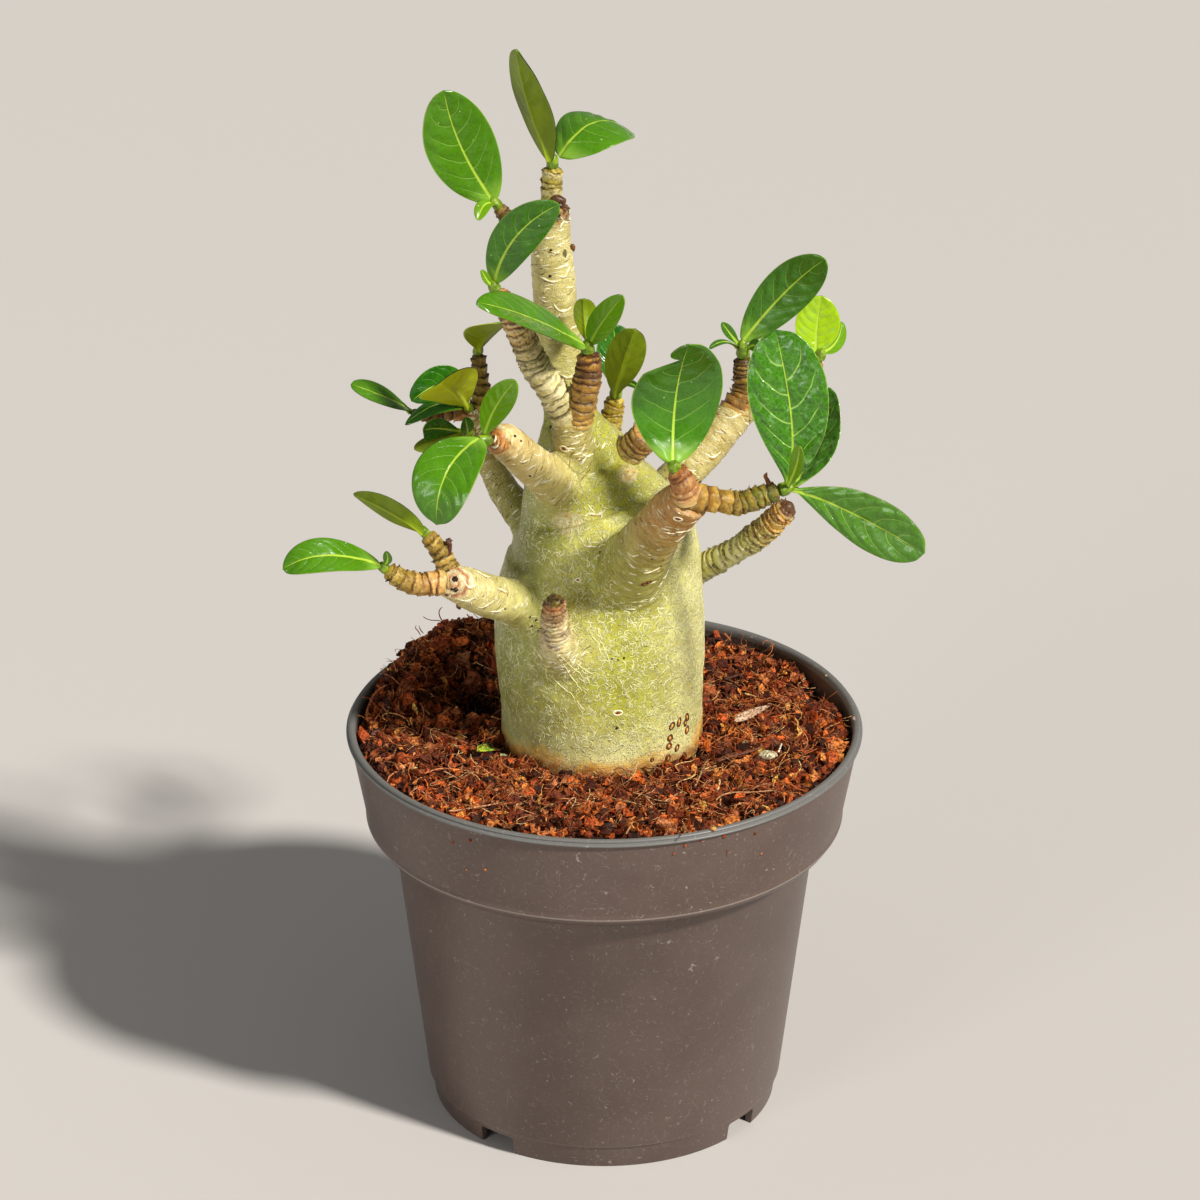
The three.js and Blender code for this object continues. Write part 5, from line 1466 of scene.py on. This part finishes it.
def makeBud(plan):
    # short green growing tip with a wavy skin
    axis = {**barkAxes, **shootAxes}[plan["tip"]]
    path = layPath(axis["points"])
    end, along = path["centre"][-1], path["along"][-1]
    radius, length = plan["bud"]
    shape = [(-0.6, 0.8), (0.3 + length * 0.3, 0.8), (0.3 + length * 0.75, 0.55), (0.3 + length, 0.2)]
    points = [(*(end + along * reach), radius * share) for reach, share in shape]
    bm = tubeAlong(points, 28, 0.16)
    for vert, swell in zip(bm.verts, grainOf(vertsOf(bm), 1.1, 3)):
        away = vert.co - Vector(end)
        vert.co += (away - Vector(along) * away.dot(Vector(along))).normalized() * 0.22 * float(swell)
    for face in bm.faces:
        face.material_index = 2
    return newObject("bud", bm, [leafTop, leafUnder, budSkin])


leafTop = leafMaterial("leafUpperSide", False)
leafUnder = leafMaterial("leafUnderside", True)
budSkin = budMaterial()
for plan in shoots:
    parts = [makeBlade(row) for row in plan["leaves"]] + [makeBud(plan)]
    declare(joined(plan["name"] + "_blades", parts), plan["slot"], [plan["name"]])
print("leaves made")

# Soil
soil = {
    "level": 93, "hole": 23.8, "holeX": -0.6, "wall": 57.1, "around": 420, "topRings": 96,
    "relief": ((6.0, 0.9), (2.8, 1.4), (1.1, 0.45)), "sink": 0.7,
    "grit": 4600, "crumbs": 3000, "chips": 1500, "flakes": 2600, "nuggets": 170, "fibres": 2500,
    "heapCrumbs": 620, "warm": (1.08, 0.98, 0.8),
    "dark": (30, 13, 7), "red": (92, 38, 18),
}
soilForms = [
    {"x": -36, "y": 40, "spread": 13, "lift": 7.5}, {"x": -48, "y": 22, "spread": 10, "lift": 4.5},
    {"x": -31, "y": 21, "spread": 8.5, "lift": -15}, {"x": 52, "y": 22, "spread": 7, "lift": -5},
    {"x": 0, "y": -56, "spread": 20, "lift": 2.4}, {"x": 48, "y": -22, "spread": 12, "lift": 1.2},
]
coirTones = [
    (84, 32, 8), (118, 50, 16), (140, 60, 20), (172, 80, 28), (58, 24, 8), (198, 104, 42),
    (128, 58, 22), (100, 48, 24), (150, 82, 44), (216, 134, 66), (72, 32, 14), (176, 112, 70),
]
fibreTones = [(188, 112, 62), (212, 148, 96), (140, 72, 36), (226, 180, 132), (168, 92, 48)]


def coirMaterial():
    material, tree, shader = newMaterial("coir", {"Specular IOR Level": 0.3})
    place = millimetres(tree)
    rough = grain(place, 1.6, 3, 0.65)
    colour = mix(fade(rough, 0.35, 0.62), (120, 104, 100), (255, 255, 255))
    colour = mix(1.0, attribute(tree, "paint"), colour, "MULTIPLY")
    fleck = fade(grain(place, 3.6, 2, 0.6), 0.64, 0.74)
    colour = mix(fleck * 0.45, colour, (206, 128, 74))
    finishMaterial(shader, colour, 0.72, rough, 0.25)
    return material


def soilHeight(x, y):
    z = np.full_like(x, soil["level"])
    for form in soilForms:
        z += form["lift"] * np.exp(-((x - form["x"]) ** 2 + (y - form["y"]) ** 2) / form["spread"] ** 2)
    return z


def makeSoilBody():
    hole = [(0, 62.7), (5.4, 62.7), (12.4, 66.7), (19.4, 74.7), (22.7, 82.7), (soil["hole"], 88.7)]
    wall = [(54.0, 76.6), (52.75, 73.1), (47.7, 71.0), (40.3, 7.5), (39.1, 6.1), (0, 6.1)]
    rows = len(hole) + soil["topRings"] + len(wall)
    bm, turn, share = flatGrid(soil["around"], rows - 1)
    row = np.rint(share * (rows - 1)).astype(int)
    top = (row >= len(hole)) & (row < rows - len(wall))
    t = np.clip((row - len(hole)) / (soil["topRings"] - 1), 0, 1)
    radii = np.array([r for r, _ in hole] + [0] * soil["topRings"] + [r for r, _ in wall], float)
    heights = np.array([z for _, z in hole] + [0] * soil["topRings"] + [z for _, z in wall], float)
    radius = np.where(top, soil["hole"] + (soil["wall"] - soil["hole"]) * t, radii[row])
    centre = soil["holeX"] * np.where(top, 1 - t, row < len(hole))
    x = centre + radius * np.cos(turn * math.tau)
    y = radius * np.sin(turn * math.tau)
    flat = np.column_stack([x, y, np.zeros_like(x)])
    z = soilHeight(x, y) - soil["sink"]
    for size, lift in soil["relief"]:
        z += lift * grainOf(flat, size, size)
    z = np.where(top, z, heights[row])
    over = np.clip(z - 92.8, 0, None)
    radius = np.where(top & (t > 0.9), np.minimum(radius, 57.0 - 0.2 * over), radius)
    tone = blend(srgb(*soil["dark"]), srgb(*soil["red"]), smoothStep(-0.2, 0.6, grainOf(flat, 1.3, 4)))
    paintVerts(bm, np.column_stack([tone, np.ones(len(x))]))
    narrowed = y * radius / np.maximum(np.hypot(x - centre, y), 1e-6)
    wrapGrid(bm, np.column_stack([centre + radius * np.cos(turn * math.tau), narrowed, z]))
    return newObject("coir_bed", bm, [coir], "coir_soil", ["soil"])


def restAt(u, v):
    # where the line of sight through a pixel first meets the soil or the pot
    start, direction = pixelRay(u, v)
    hits = [tree.ray_cast(start, direction)[0] for tree in (soilTree, potTree)]
    hits = [hit for hit in hits if hit is not None]
    return min(hits, key=lambda hit: (hit - start).length) if hits else None


def above(u, v, lift):
    # the point on the line of sight through a pixel that is so far above where it meets the soil
    direction = pixelRay(u, v)[1]
    hit = restAt(u, v)
    return hit + direction * (lift / direction.z) if hit is not None else None


# Small shapes that are strewn many times, each as its vertices and triangles
def shapeOf(bm):
    bmesh.ops.recalc_face_normals(bm, faces=bm.faces)
    bmesh.ops.triangulate(bm, faces=bm.faces)
    verts = vertsOf(bm)
    tris = np.array([[vert.index for vert in face.verts] for face in bm.faces])
    bm.free()
    return verts, tris


def gritShape(rng):
    bm = bmesh.new()
    bmesh.ops.create_cube(bm, size=1.3)
    for vert in bm.verts:
        vert.co = Vector([c * rng.uniform(0.5, 1.25) for c in vert.co])
    return shapeOf(bm)


def crumbShape(rng):
    bm = bmesh.new()
    bmesh.ops.create_icosphere(bm, subdivisions=1, radius=1)
    for vert in bm.verts:
        vert.co = Vector([c * rng.uniform(0.6, 1.3) for c in vert.co])
    return shapeOf(bm)


def chipShape(rng):
    bm = bmesh.new()
    bmesh.ops.create_cube(bm, size=1.5)
    bmesh.ops.subdivide_edges(bm, edges=bm.edges, cuts=1, use_grid_fill=True)
    for vert in bm.verts:
        vert.co *= rng.uniform(0.7, 1.2)
        vert.co += Vector([rng.uniform(-0.14, 0.14) for _ in range(3)])
    return shapeOf(bm)


def nuggetShape(rng):
    bm = bmesh.new()
    bmesh.ops.create_icosphere(bm, subdivisions=3, radius=1)
    places = vertsOf(bm)
    swell = 1 + 0.5 * grainOf(places, 0.7, rng.random() * 9) + 0.4 * grainOf(places, 0.3, rng.random() * 9)
    for vert, size in zip(bm.verts, swell):
        vert.co *= float(size)
    return shapeOf(bm)


def flakeShape(rng):
    bm = bmesh.new()
    bmesh.ops.create_grid(bm, x_segments=5, y_segments=2, size=1)
    curl, twist = rng.uniform(0.5, 2.6), rng.uniform(-0.5, 0.5)
    for vert in bm.verts:
        x, y = vert.co.x, vert.co.y * 0.45 * (1 - 0.35 * vert.co.x**2) * rng.uniform(0.8, 1.2)
        angle = x * curl
        high = (1 - math.cos(angle)) / curl + twist * x * y
        vert.co = Vector((math.sin(angle) / curl, y + twist * x * x * 0.4, high))
    bmesh.ops.solidify(bm, geom=bm.faces, thickness=0.12)
    return shapeOf(bm)


def fibreShape(rng):
    # half-round wandering thread of length about one
    turns = [rng.uniform(-1, 1) for _ in range(4)]
    points = []
    x = y = z = 0.0
    heading, dip = rng.uniform(-0.6, 0.6), 0.0
    for k in range(9):
        points.append((x - 0.45, y, z, 0.018 * (1 - 0.05 * k)))
        heading += turns[k // 3] * rng.uniform(0.3, 1.1)
        dip = 0.6 * dip + rng.uniform(-0.22, 0.22)
        x += math.cos(heading) * 0.12
        y += math.sin(heading) * 0.12
        z += dip * 0.12
    path = layPath(points, 40)
    bm, turn, share = flatGrid(3, 10)
    found = pathAt(path, share * path["s"][-1])
    wrapGrid(bm, tubePlaces(found, turn, found["radius"]))
    bmesh.ops.contextual_create(bm, geom=[e for e in bm.edges if e.is_boundary])
    return shapeOf(bm)


def strew(name, makeShape, kinds, rows, smooth=False):
    # rows hold place, turn as a matrix, size on three axes and colour
    rng = random.Random(name)
    shapes = [makeShape(rng) for _ in range(kinds)]
    verts, tris, colours, first = [], [], [], 0
    for kind, (shapeVerts, shapeTris) in enumerate(shapes):
        mine = rows[kind::kinds]
        place = np.array([row[0] for row in mine])
        turned = np.array([row[1] for row in mine])
        size = np.array([row[2] for row in mine])
        tone = np.array([row[3] for row in mine])
        spread = np.einsum("nij,nkj->nki", turned, shapeVerts[None] * size[:, None]) + place[:, None]
        verts.append(spread.reshape(-1, 3))
        starts = first + np.arange(len(mine)) * len(shapeVerts)
        tris.append((shapeTris[None] + starts[:, None, None]).reshape(-1, 3))
        # painted light and shade: each piece is darker at its lowest point and lighter towards its top
        low = spread[:, :, 2] - spread[:, :, 2].min(axis=1)[:, None]
        low = 0.62 + 0.5 * low / np.maximum(low.max(axis=1)[:, None], 1e-6)
        colours.append((tone[:, None] * low[:, :, None]).reshape(-1, 3))
        first += len(mine) * len(shapeVerts)
    verts, tris, colours = (np.concatenate(group) for group in (verts, tris, colours))
    obj = paintedObject(name, verts, tris.tolist(), np.clip(colours, 0, 1), 1, coir, smooth)
    print(name, len(tris), "triangles")
    return declare(obj, "coir_soil", ["soil"])


def hollowAt(spot):
    # how far a point lies below the general level of the soil
    return float(soilHeight(np.array([spot.x]), np.array([spot.y]))[0]) - soil["sink"] - spot.z


def soilSpots(rng, count, margin, deepest=9):
    # points spread over the soil, clear of the wall and of the caudex by a margin, and of deep gaps
    spots = []
    while len(spots) < count:
        x, y = rng.uniform(-58, 58), rng.uniform(-58, 58)
        if math.hypot(x - soil["holeX"], y) < 23.5 + margin * 0.6 or math.hypot(x, y) > 57.2 - margin:
            continue
        hit = soilTree.ray_cast(Vector((x, y, 130)), Vector((0, 0, -1)))
        if hit[0] is not None and hollowAt(hit[0]) < deepest:
            spots.append((hit[0], hit[1]))
    return spots


def anyTurn(rng, lean=math.pi, normal=Vector((0, 0, 1))):
    # random turn whose own Z leans away from the normal by at most that angle
    turn = Matrix.Rotation(rng.uniform(0, math.tau), 3, "Z")
    angle = rng.uniform(-lean, lean)
    tilt = Matrix.Rotation(angle, 3, Vector((rng.uniform(-1, 1), rng.uniform(-1, 1), 0.01)).normalized())
    return normal.to_track_quat("Z", "Y").to_matrix() @ tilt @ turn


def coirTone(rng, spot, tones=coirTones):
    # warmer than the plain tones, and painted shade: darker the lower a piece lies and in the hollow
    tone = srgb(*rng.choice(tones)) * rng.uniform(0.75, 1.45) * np.array(soil["warm"])
    depth = min(1, max(0, (spot.z - 85) / 7))
    shade = smoothStep(1.4, -0.5, hollowAt(spot) if spot.z < 96 else 0)
    return tone * (0.12 + 0.88 * depth) * (0.15 + 1.0 * float(shade))


def strewSoil():
    rng = random.Random(5)
    rows = []
    for spot, normal in soilSpots(rng, soil["grit"], 0.5):
        size = rng.uniform(0.3, 0.75)
        rows.append((spot + normal * size * rng.uniform(-0.1, 0.9), anyTurn(rng),
                     [size * rng.uniform(0.6, 1.5) for _ in range(3)], coirTone(rng, spot) * 0.55))
    strew("coir_grit", gritShape, 8, rows)
    rows = []
    for spot, normal in soilSpots(rng, soil["crumbs"], 0.9, 0.9):
        size = 0.5 + 0.8 * rng.random() ** 2
        rows.append((spot + normal * size * rng.uniform(-0.2, 0.8), anyTurn(rng),
                     [size * rng.uniform(0.6, 1.4) for _ in range(3)], coirTone(rng, spot)))
    strew("coir_crumbs", crumbShape, 9, rows + heapRows(rng))
    rows = []
    for spot, normal in soilSpots(rng, soil["chips"], 1.6, 0.25):
        size = 0.9 + 1.3 * rng.random() ** 2.5
        rows.append((spot + normal * size * rng.uniform(-0.1, 0.45), anyTurn(rng, 0.9, normal),
                     (size * rng.uniform(0.9, 1.7), size * rng.uniform(0.7, 1.0), size * rng.uniform(0.35, 0.7)),
                     coirTone(rng, spot)))
    strew("coir_chips", chipShape, 9, rows)
    rows = []
    for spot, normal in soilSpots(rng, soil["flakes"], 1.8, 0.45):
        size = 1.0 + 2.2 * rng.random() ** 1.6
        rows.append((spot + normal * rng.uniform(0.2, 1.0), anyTurn(rng, 1.2, normal),
                     (size, size, size * rng.uniform(0.7, 1.2)), coirTone(rng, spot) * rng.uniform(0.8, 1.8)))
    strew("coir_flakes", flakeShape, 10, rows)
    rows = []
    for spot, normal in soilSpots(rng, soil["nuggets"], 2.2, 0.1):
        size = 1.1 + 1.3 * rng.random() ** 2
        rows.append((spot + normal * size * rng.uniform(0, 0.5), anyTurn(rng),
                     [size * rng.uniform(0.75, 1.25) for _ in range(3)], coirTone(rng, spot) * 0.75))
    strew("coir_nuggets", nuggetShape, 7, rows)
    rows = []
    for spot, normal in soilSpots(rng, soil["fibres"], 2.6):
        size = 3.5 + 9 * rng.random() ** 1.6
        size = min(size, 1.2 + 1.4 * (56.7 - math.hypot(spot.x, spot.y)))
        thick = size * rng.uniform(0.8, 1.2) * 6 / (size + 2)
        rows.append((spot + normal * rng.uniform(0.8, 2.3), anyTurn(rng, 0.3, normal),
                     (size, size, max(thick, size * 0.6)), coirTone(rng, spot, fibreTones) * 1.2))
    strew("coir_fibres", fibreShape, 12, rows, smooth=True)


def heapRows(rng):
    # crumbs of the heap that lie over the rim at the back left
    rows = []
    while len(rows) < soil["heapCrumbs"]:
        angle, radius = math.radians(rng.gauss(132, 11)), rng.uniform(52, 60.3)
        if not 108 < math.degrees(angle) < 156:
            continue
        x, y = radius * math.cos(angle), radius * math.sin(angle)
        rim = 96.2 + 3.6 * math.exp(-((math.degrees(angle) - 131) / 12) ** 2) * (60.6 - radius) / 5
        high = max(float(soilHeight(np.array([x]), np.array([y]))[0]), rim) if radius < 57.6 else rim
        spot = Vector((x, y, high + rng.uniform(-0.5, 0.6)))
        if radius > 57 and abs(math.degrees(angle) - 131) > 15:
            continue
        size = rng.uniform(0.4, 1.1)
        rows.append((spot, anyTurn(rng), [size * rng.uniform(0.6, 1.5) for _ in range(3)], coirTone(rng, spot)))
    return rows


# Threads of the photograph: tone, radius in millimetres and the pixels that they pass
threads = [
    ((176, 104, 66), 0.28, [(423, 726), (433, 731), (449, 736), (463, 742), (476, 747)]),
    ((186, 112, 66), 0.24, [(440, 700), (450, 703), (458, 708), (463, 712)]),
    ((190, 116, 68), 0.22, [(419.5, 702), (424, 708), (424, 714), (423, 723)]),
    ((200, 116, 64), 0.3, [(366, 715), (369, 704), (374, 693), (380, 688), (387, 685)]),
    ((188, 110, 62), 0.22, [(399, 700), (398, 706), (399, 711), (403, 715), (406, 714)]),
    ((206, 150, 108), 0.22, [(447, 811), (456, 811), (465, 809), (478, 807), (492, 804.5), (501, 803),
                             (511.5, 800)]),
    ((204, 146, 100), 0.2, [(490, 800), (492, 804), (503, 804), (513, 799), (521, 795), (528, 797), (534, 797)]),
    ((196, 140, 96), 0.16, [(409, 794), (413, 790), (418.6, 786.6)]),
    ((210, 160, 120), 0.18, [(415, 788), (424, 792), (432, 799)]),
    ((190, 128, 84), 0.2, [(387, 782), (388, 777), (393, 773), (399, 771)]),
    ((186, 118, 74), 0.2, [(427.5, 773), (434, 769), (443, 768), (456, 769), (465, 771.5), (474, 770), (479, 776),
                           (489, 775), (493, 770)]),
    ((206, 160, 124), 0.18, [(442.7, 770.6), (450, 774), (457.9, 778.6)]),
    ((184, 118, 76), 0.22, [(472, 771.5), (463, 778), (455, 782), (447, 785.7)]),
    ((196, 150, 112), 0.2, [(566, 805), (570, 799), (576, 795), (577, 801), (571, 808)]),
    ((170, 108, 66), 0.18, [(375, 762), (384, 761), (395, 762), (402, 768), (404, 772)]),
    ((180, 112, 66), 0.2, [(350, 702), (354, 698), (359, 695), (361, 691)]),
    ((194, 142, 98), 0.2, [(716, 800), (720, 796), (725, 793.8), (733, 792), (741, 792), (752, 793), (763, 791),
                           (775, 790), (782, 792), (785.7, 797), (784, 803)]),
    ((222, 180, 130), 0.26, [(719.6, 778.6), (720, 784), (718, 790), (716, 793)]),
    ((176, 140, 96), 0.28, [(707, 760.7), (703, 768), (699, 778), (694.6, 787.5)]),
    ((200, 160, 120), 0.2, [(664, 801.8), (673, 796), (683.9, 791)]),
    ((200, 160, 120), 0.18, [(644.6, 794.6), (648, 800), (653.6, 805)]),
    ((206, 160, 110), 0.24, [(633, 821), (630, 827), (626, 834)]),
    ((234, 222, 200), 0.24, [(778, 753.6), (780, 748), (782, 743)]),
    ((120, 72, 50), 0.34, [(716, 762), (723, 759), (733, 756), (743, 753.6), (752, 751), (760.7, 748), (763, 745),
                           (757, 743), (752, 744)]),
    ((150, 86, 54), 0.2, [(710.7, 693), (715, 697), (719.6, 702)]),
    ((214, 176, 110), 0.3, [(743, 693), (750, 695), (757, 697)]),
    ((150, 84, 48), 0.36, [(723, 632), (727, 637), (732, 642)]),
    ((150, 92, 64), 0.2, [(774, 641), (774, 645), (770, 650), (765, 652)]),
    ((170, 96, 50), 0.28, [(789, 667), (791, 664), (794.6, 662)]),
    ((160, 90, 48), 0.24, [(784, 660), (788, 664), (792, 668)]),
    ((74, 44, 30), 0.42, [(723, 680), (732, 677), (741, 674)]),
    ((176, 120, 80), 0.2, [(751, 790), (758, 786), (764, 783), (770, 784), (777, 788)]),
    ((170, 110, 66), 0.18, [(774, 778), (782, 783), (788, 787)]),
    ((190, 130, 80), 0.18, [(683, 822), (684, 828), (690, 833)]),
]
# threads that stand up from the heap: depth of their plane, tone, radius and pixels
risers = [
    (46, (150, 70, 44), 0.16, [(443, 622), (440, 617), (439, 612), (441, 608), (443, 607)]),
    (42, (176, 92, 62), 0.14, [(421, 636), (418, 631), (415, 627), (417, 625)]),
    (42, (166, 84, 54), 0.14, [(424, 634), (420, 629), (419, 625)]),
]
# loose bits on the pot: pixel, size in millimetres and tone
bits = [
    (452.5, 843, 0.35, (206, 110, 50)), (470, 841, 0.4, (196, 100, 44)), (467, 870, 0.3, (190, 120, 60)),
    (485, 870, 0.35, (206, 116, 56)), (685, 846, 0.35, (196, 96, 44)), (701, 841, 0.3, (150, 60, 34)),
    (724, 837, 0.45, (160, 66, 38)), (761, 854, 0.3, (206, 120, 60)), (674, 854, 0.3, (176, 90, 50)),
    (755, 834, 0.35, (150, 66, 36)), (713, 829, 0.75, (222, 168, 90)), (854, 719, 0.5, (206, 176, 150)),
    (826, 676, 0.35, (206, 170, 130)),
]


def makeThread(points, radius, tone):
    rows = [(*point, radius * (1 - 0.35 * k / len(points))) for k, point in enumerate(points)]
    bm = tubeAlong(rows, 6, 0.5)
    rng = random.Random(len(points) + int(points[0][0] * 10))
    shade = rng.uniform(1.05, 1.5)
    paintVerts(bm, [(*[c * shade for c in srgb(*tone)], 1)] * len(bm.verts))
    return newObject("thread", bm, [coir])


def makeThreads():
    parts = []
    for tone, radius, pixels in threads:
        points = [point for point in (above(u, v, radius + 2.6) for u, v in pixels) if point is not None]
        # a thread hangs over hollows, so each point is drawn towards its neighbours
        inner = [(a + b * 2 + c) / 4 for a, b, c in zip(points, points[1:], points[2:])]
        parts.append(makeThread([points[0], *inner, points[-1]], radius, tone))
    for depth, tone, radius, pixels in risers:
        parts.append(makeThread([atDepth(u, v, depth) for u, v in pixels], radius, tone))
    for u, v, size, tone in bits:
        bm = bmesh.new()
        bmesh.ops.create_icosphere(bm, subdivisions=2, radius=size)
        rng = random.Random(int(u))
        for vert in bm.verts:
            vert.co *= rng.uniform(0.75, 1.2)
        spot = restAt(u, v) or atDepth(u, v, 38)
        bmesh.ops.translate(bm, vec=spot + Vector((0, -0.4, 0.5)) * size, verts=bm.verts)
        paintVerts(bm, [(*[c * rng.uniform(0.8, 1.15) for c in srgb(*tone)], 1) for _ in bm.verts])
        parts.append(newObject("bit", bm, [coir]))
    declare(joined("coir_threads", parts), "coir_soil", ["soil"])


# Flat pieces: ends as pixels, width and thickness in millimetres, curl, and the tones from end to end
slivers = {
    "greenScrap": {"ends": ((477, 750), (509, 748)), "width": 2.7, "thick": 0.5, "lift": 4.6, "curl": 0.5,
                   "tones": ((214, 230, 60), (120, 190, 50), (60, 130, 36), (150, 200, 84))},
    "thinScrap": {"ends": ((500, 755), (529, 758)), "width": 1.1, "thick": 0.3, "lift": 3.8, "curl": 0.3,
                  "tones": ((226, 226, 170), (120, 140, 60), (110, 130, 50), (150, 60, 36))},
    "greySliver": {"ends": ((735, 721), (769, 706)), "width": 2.4, "thick": 0.3, "lift": 4.0, "curl": 0.3,
                   "point": 0.8, "tones": ((236, 204, 172), (214, 180, 146), (200, 164, 132), (226, 194, 160))},
    "greyChip": {"ends": ((743, 747), (752, 738)), "width": 1.8, "thick": 0.4, "lift": 2.0, "curl": 0.2,
                 "tones": ((132, 118, 96), (150, 138, 112), (120, 104, 84), (106, 92, 74))},
    "darkBark": {"ends": ((470, 752), (494, 757)), "width": 2.6, "thick": 0.5, "lift": 1.5, "curl": 0.3,
                 "tones": ((40, 30, 26), (52, 40, 34), (36, 26, 22), (44, 34, 28))},
    "leftChip": {"ends": ((372, 737), (386, 731)), "width": 2.2, "thick": 0.7, "lift": 1.8, "curl": 0.3,
                 "tones": ((120, 78, 64), (134, 92, 78), (110, 70, 56), (96, 56, 44))},
}
stone = {"pixel": (768, 755), "lift": 2.0, "size": (2.3, 1.5, 1.0), "tones": ((230, 218, 178), (150, 136, 100))}


def makeSliver(spec):
    start, end = (above(*pixel, spec["lift"]) for pixel in spec["ends"])
    along = (end - start).normalized()
    side = along.cross(Vector((0, -0.5, 1))).normalized()
    bm = bmesh.new()
    bmesh.ops.create_grid(bm, x_segments=16, y_segments=6, size=1)
    places = vertsOf(bm)
    t = places[:, 0] / 2 + 0.5
    tones = np.array([srgb(*tone) for tone in spec["tones"]])
    colour = np.stack([np.interp(t + 0.12 * grainOf(places, 0.3, 2), np.linspace(0, 1, 4), tones[:, i])
                       for i in range(3)], axis=1)
    colour *= (1 + 0.4 * grainOf(places, 0.22, 7))[:, None]
    paintVerts(bm, np.column_stack([np.clip(colour, 0, 1), np.ones(len(t))]))
    half = spec["width"] / 2 * np.sqrt(np.clip(1 - (2 * t - 1) ** 4, 0.02, 1))
    half *= 1 + 0.2 * grainOf(np.column_stack([t, t * 0, t * 0]), 0.15, 3)
    half *= 1 - spec.get("point", 0) * t**2.5
    across = places[:, 1] * half
    up = spec["curl"] * (np.sin(t * math.pi) + 0.8 * places[:, 1] ** 2)
    for vert, a, b, c in zip(bm.verts, t, across, up):
        vert.co = start + (end - start) * float(a) + side * float(b) + along.cross(side) * -float(c)
    bmesh.ops.solidify(bm, geom=bm.faces, thickness=spec["thick"])
    return newObject("sliver", bm, [coir])


def makeStone():
    bm = bmesh.new()
    bmesh.ops.create_icosphere(bm, subdivisions=4, radius=1)
    places = vertsOf(bm)
    speck = grainOf(places, 0.16, 3)
    low, high = (srgb(*tone) for tone in stone["tones"])
    tone = blend(low, high, smoothStep(0.1, 0.4, speck))
    paintVerts(bm, np.column_stack([tone, np.ones(len(places))]))
    size = np.array(stone["size"])
    swell = 1 + 0.12 * grainOf(places, 0.8, 1) + 0.04 * grainOf(places, 0.25, 2)
    centre = np.array(above(*stone["pixel"], stone["lift"]))
    for vert, place in zip(bm.verts, places * size * swell[:, None] + centre):
        vert.co = place
    return newObject("stone", bm, [coir])


coir = coirMaterial()
soilObject = makeSoilBody()
soilTree, potTree = (treeOf(obj.data, vertexPlaces(obj.data)) for obj in (soilObject, potObject))
strewSoil()
makeThreads()
declare(joined("soil_scraps", [makeSliver(spec) for spec in slivers.values()] + [makeStone()]),
        "coir_soil", ["soil"])
print("soil made")


# Floor
def makeFloor():
    material, _, shader = newMaterial("paleFloor", {"Roughness": 0.9})
    feed(shader.inputs["Base Color"], light["floor"])
    bm = bmesh.new()
    bmesh.ops.create_grid(bm, x_segments=1, y_segments=1, size=4000)
    bmesh.ops.translate(bm, vec=(0, 0, -0.05), verts=bm.verts)
    newObject("floor", bm, [material])


makeFloor()
print("scene finished")
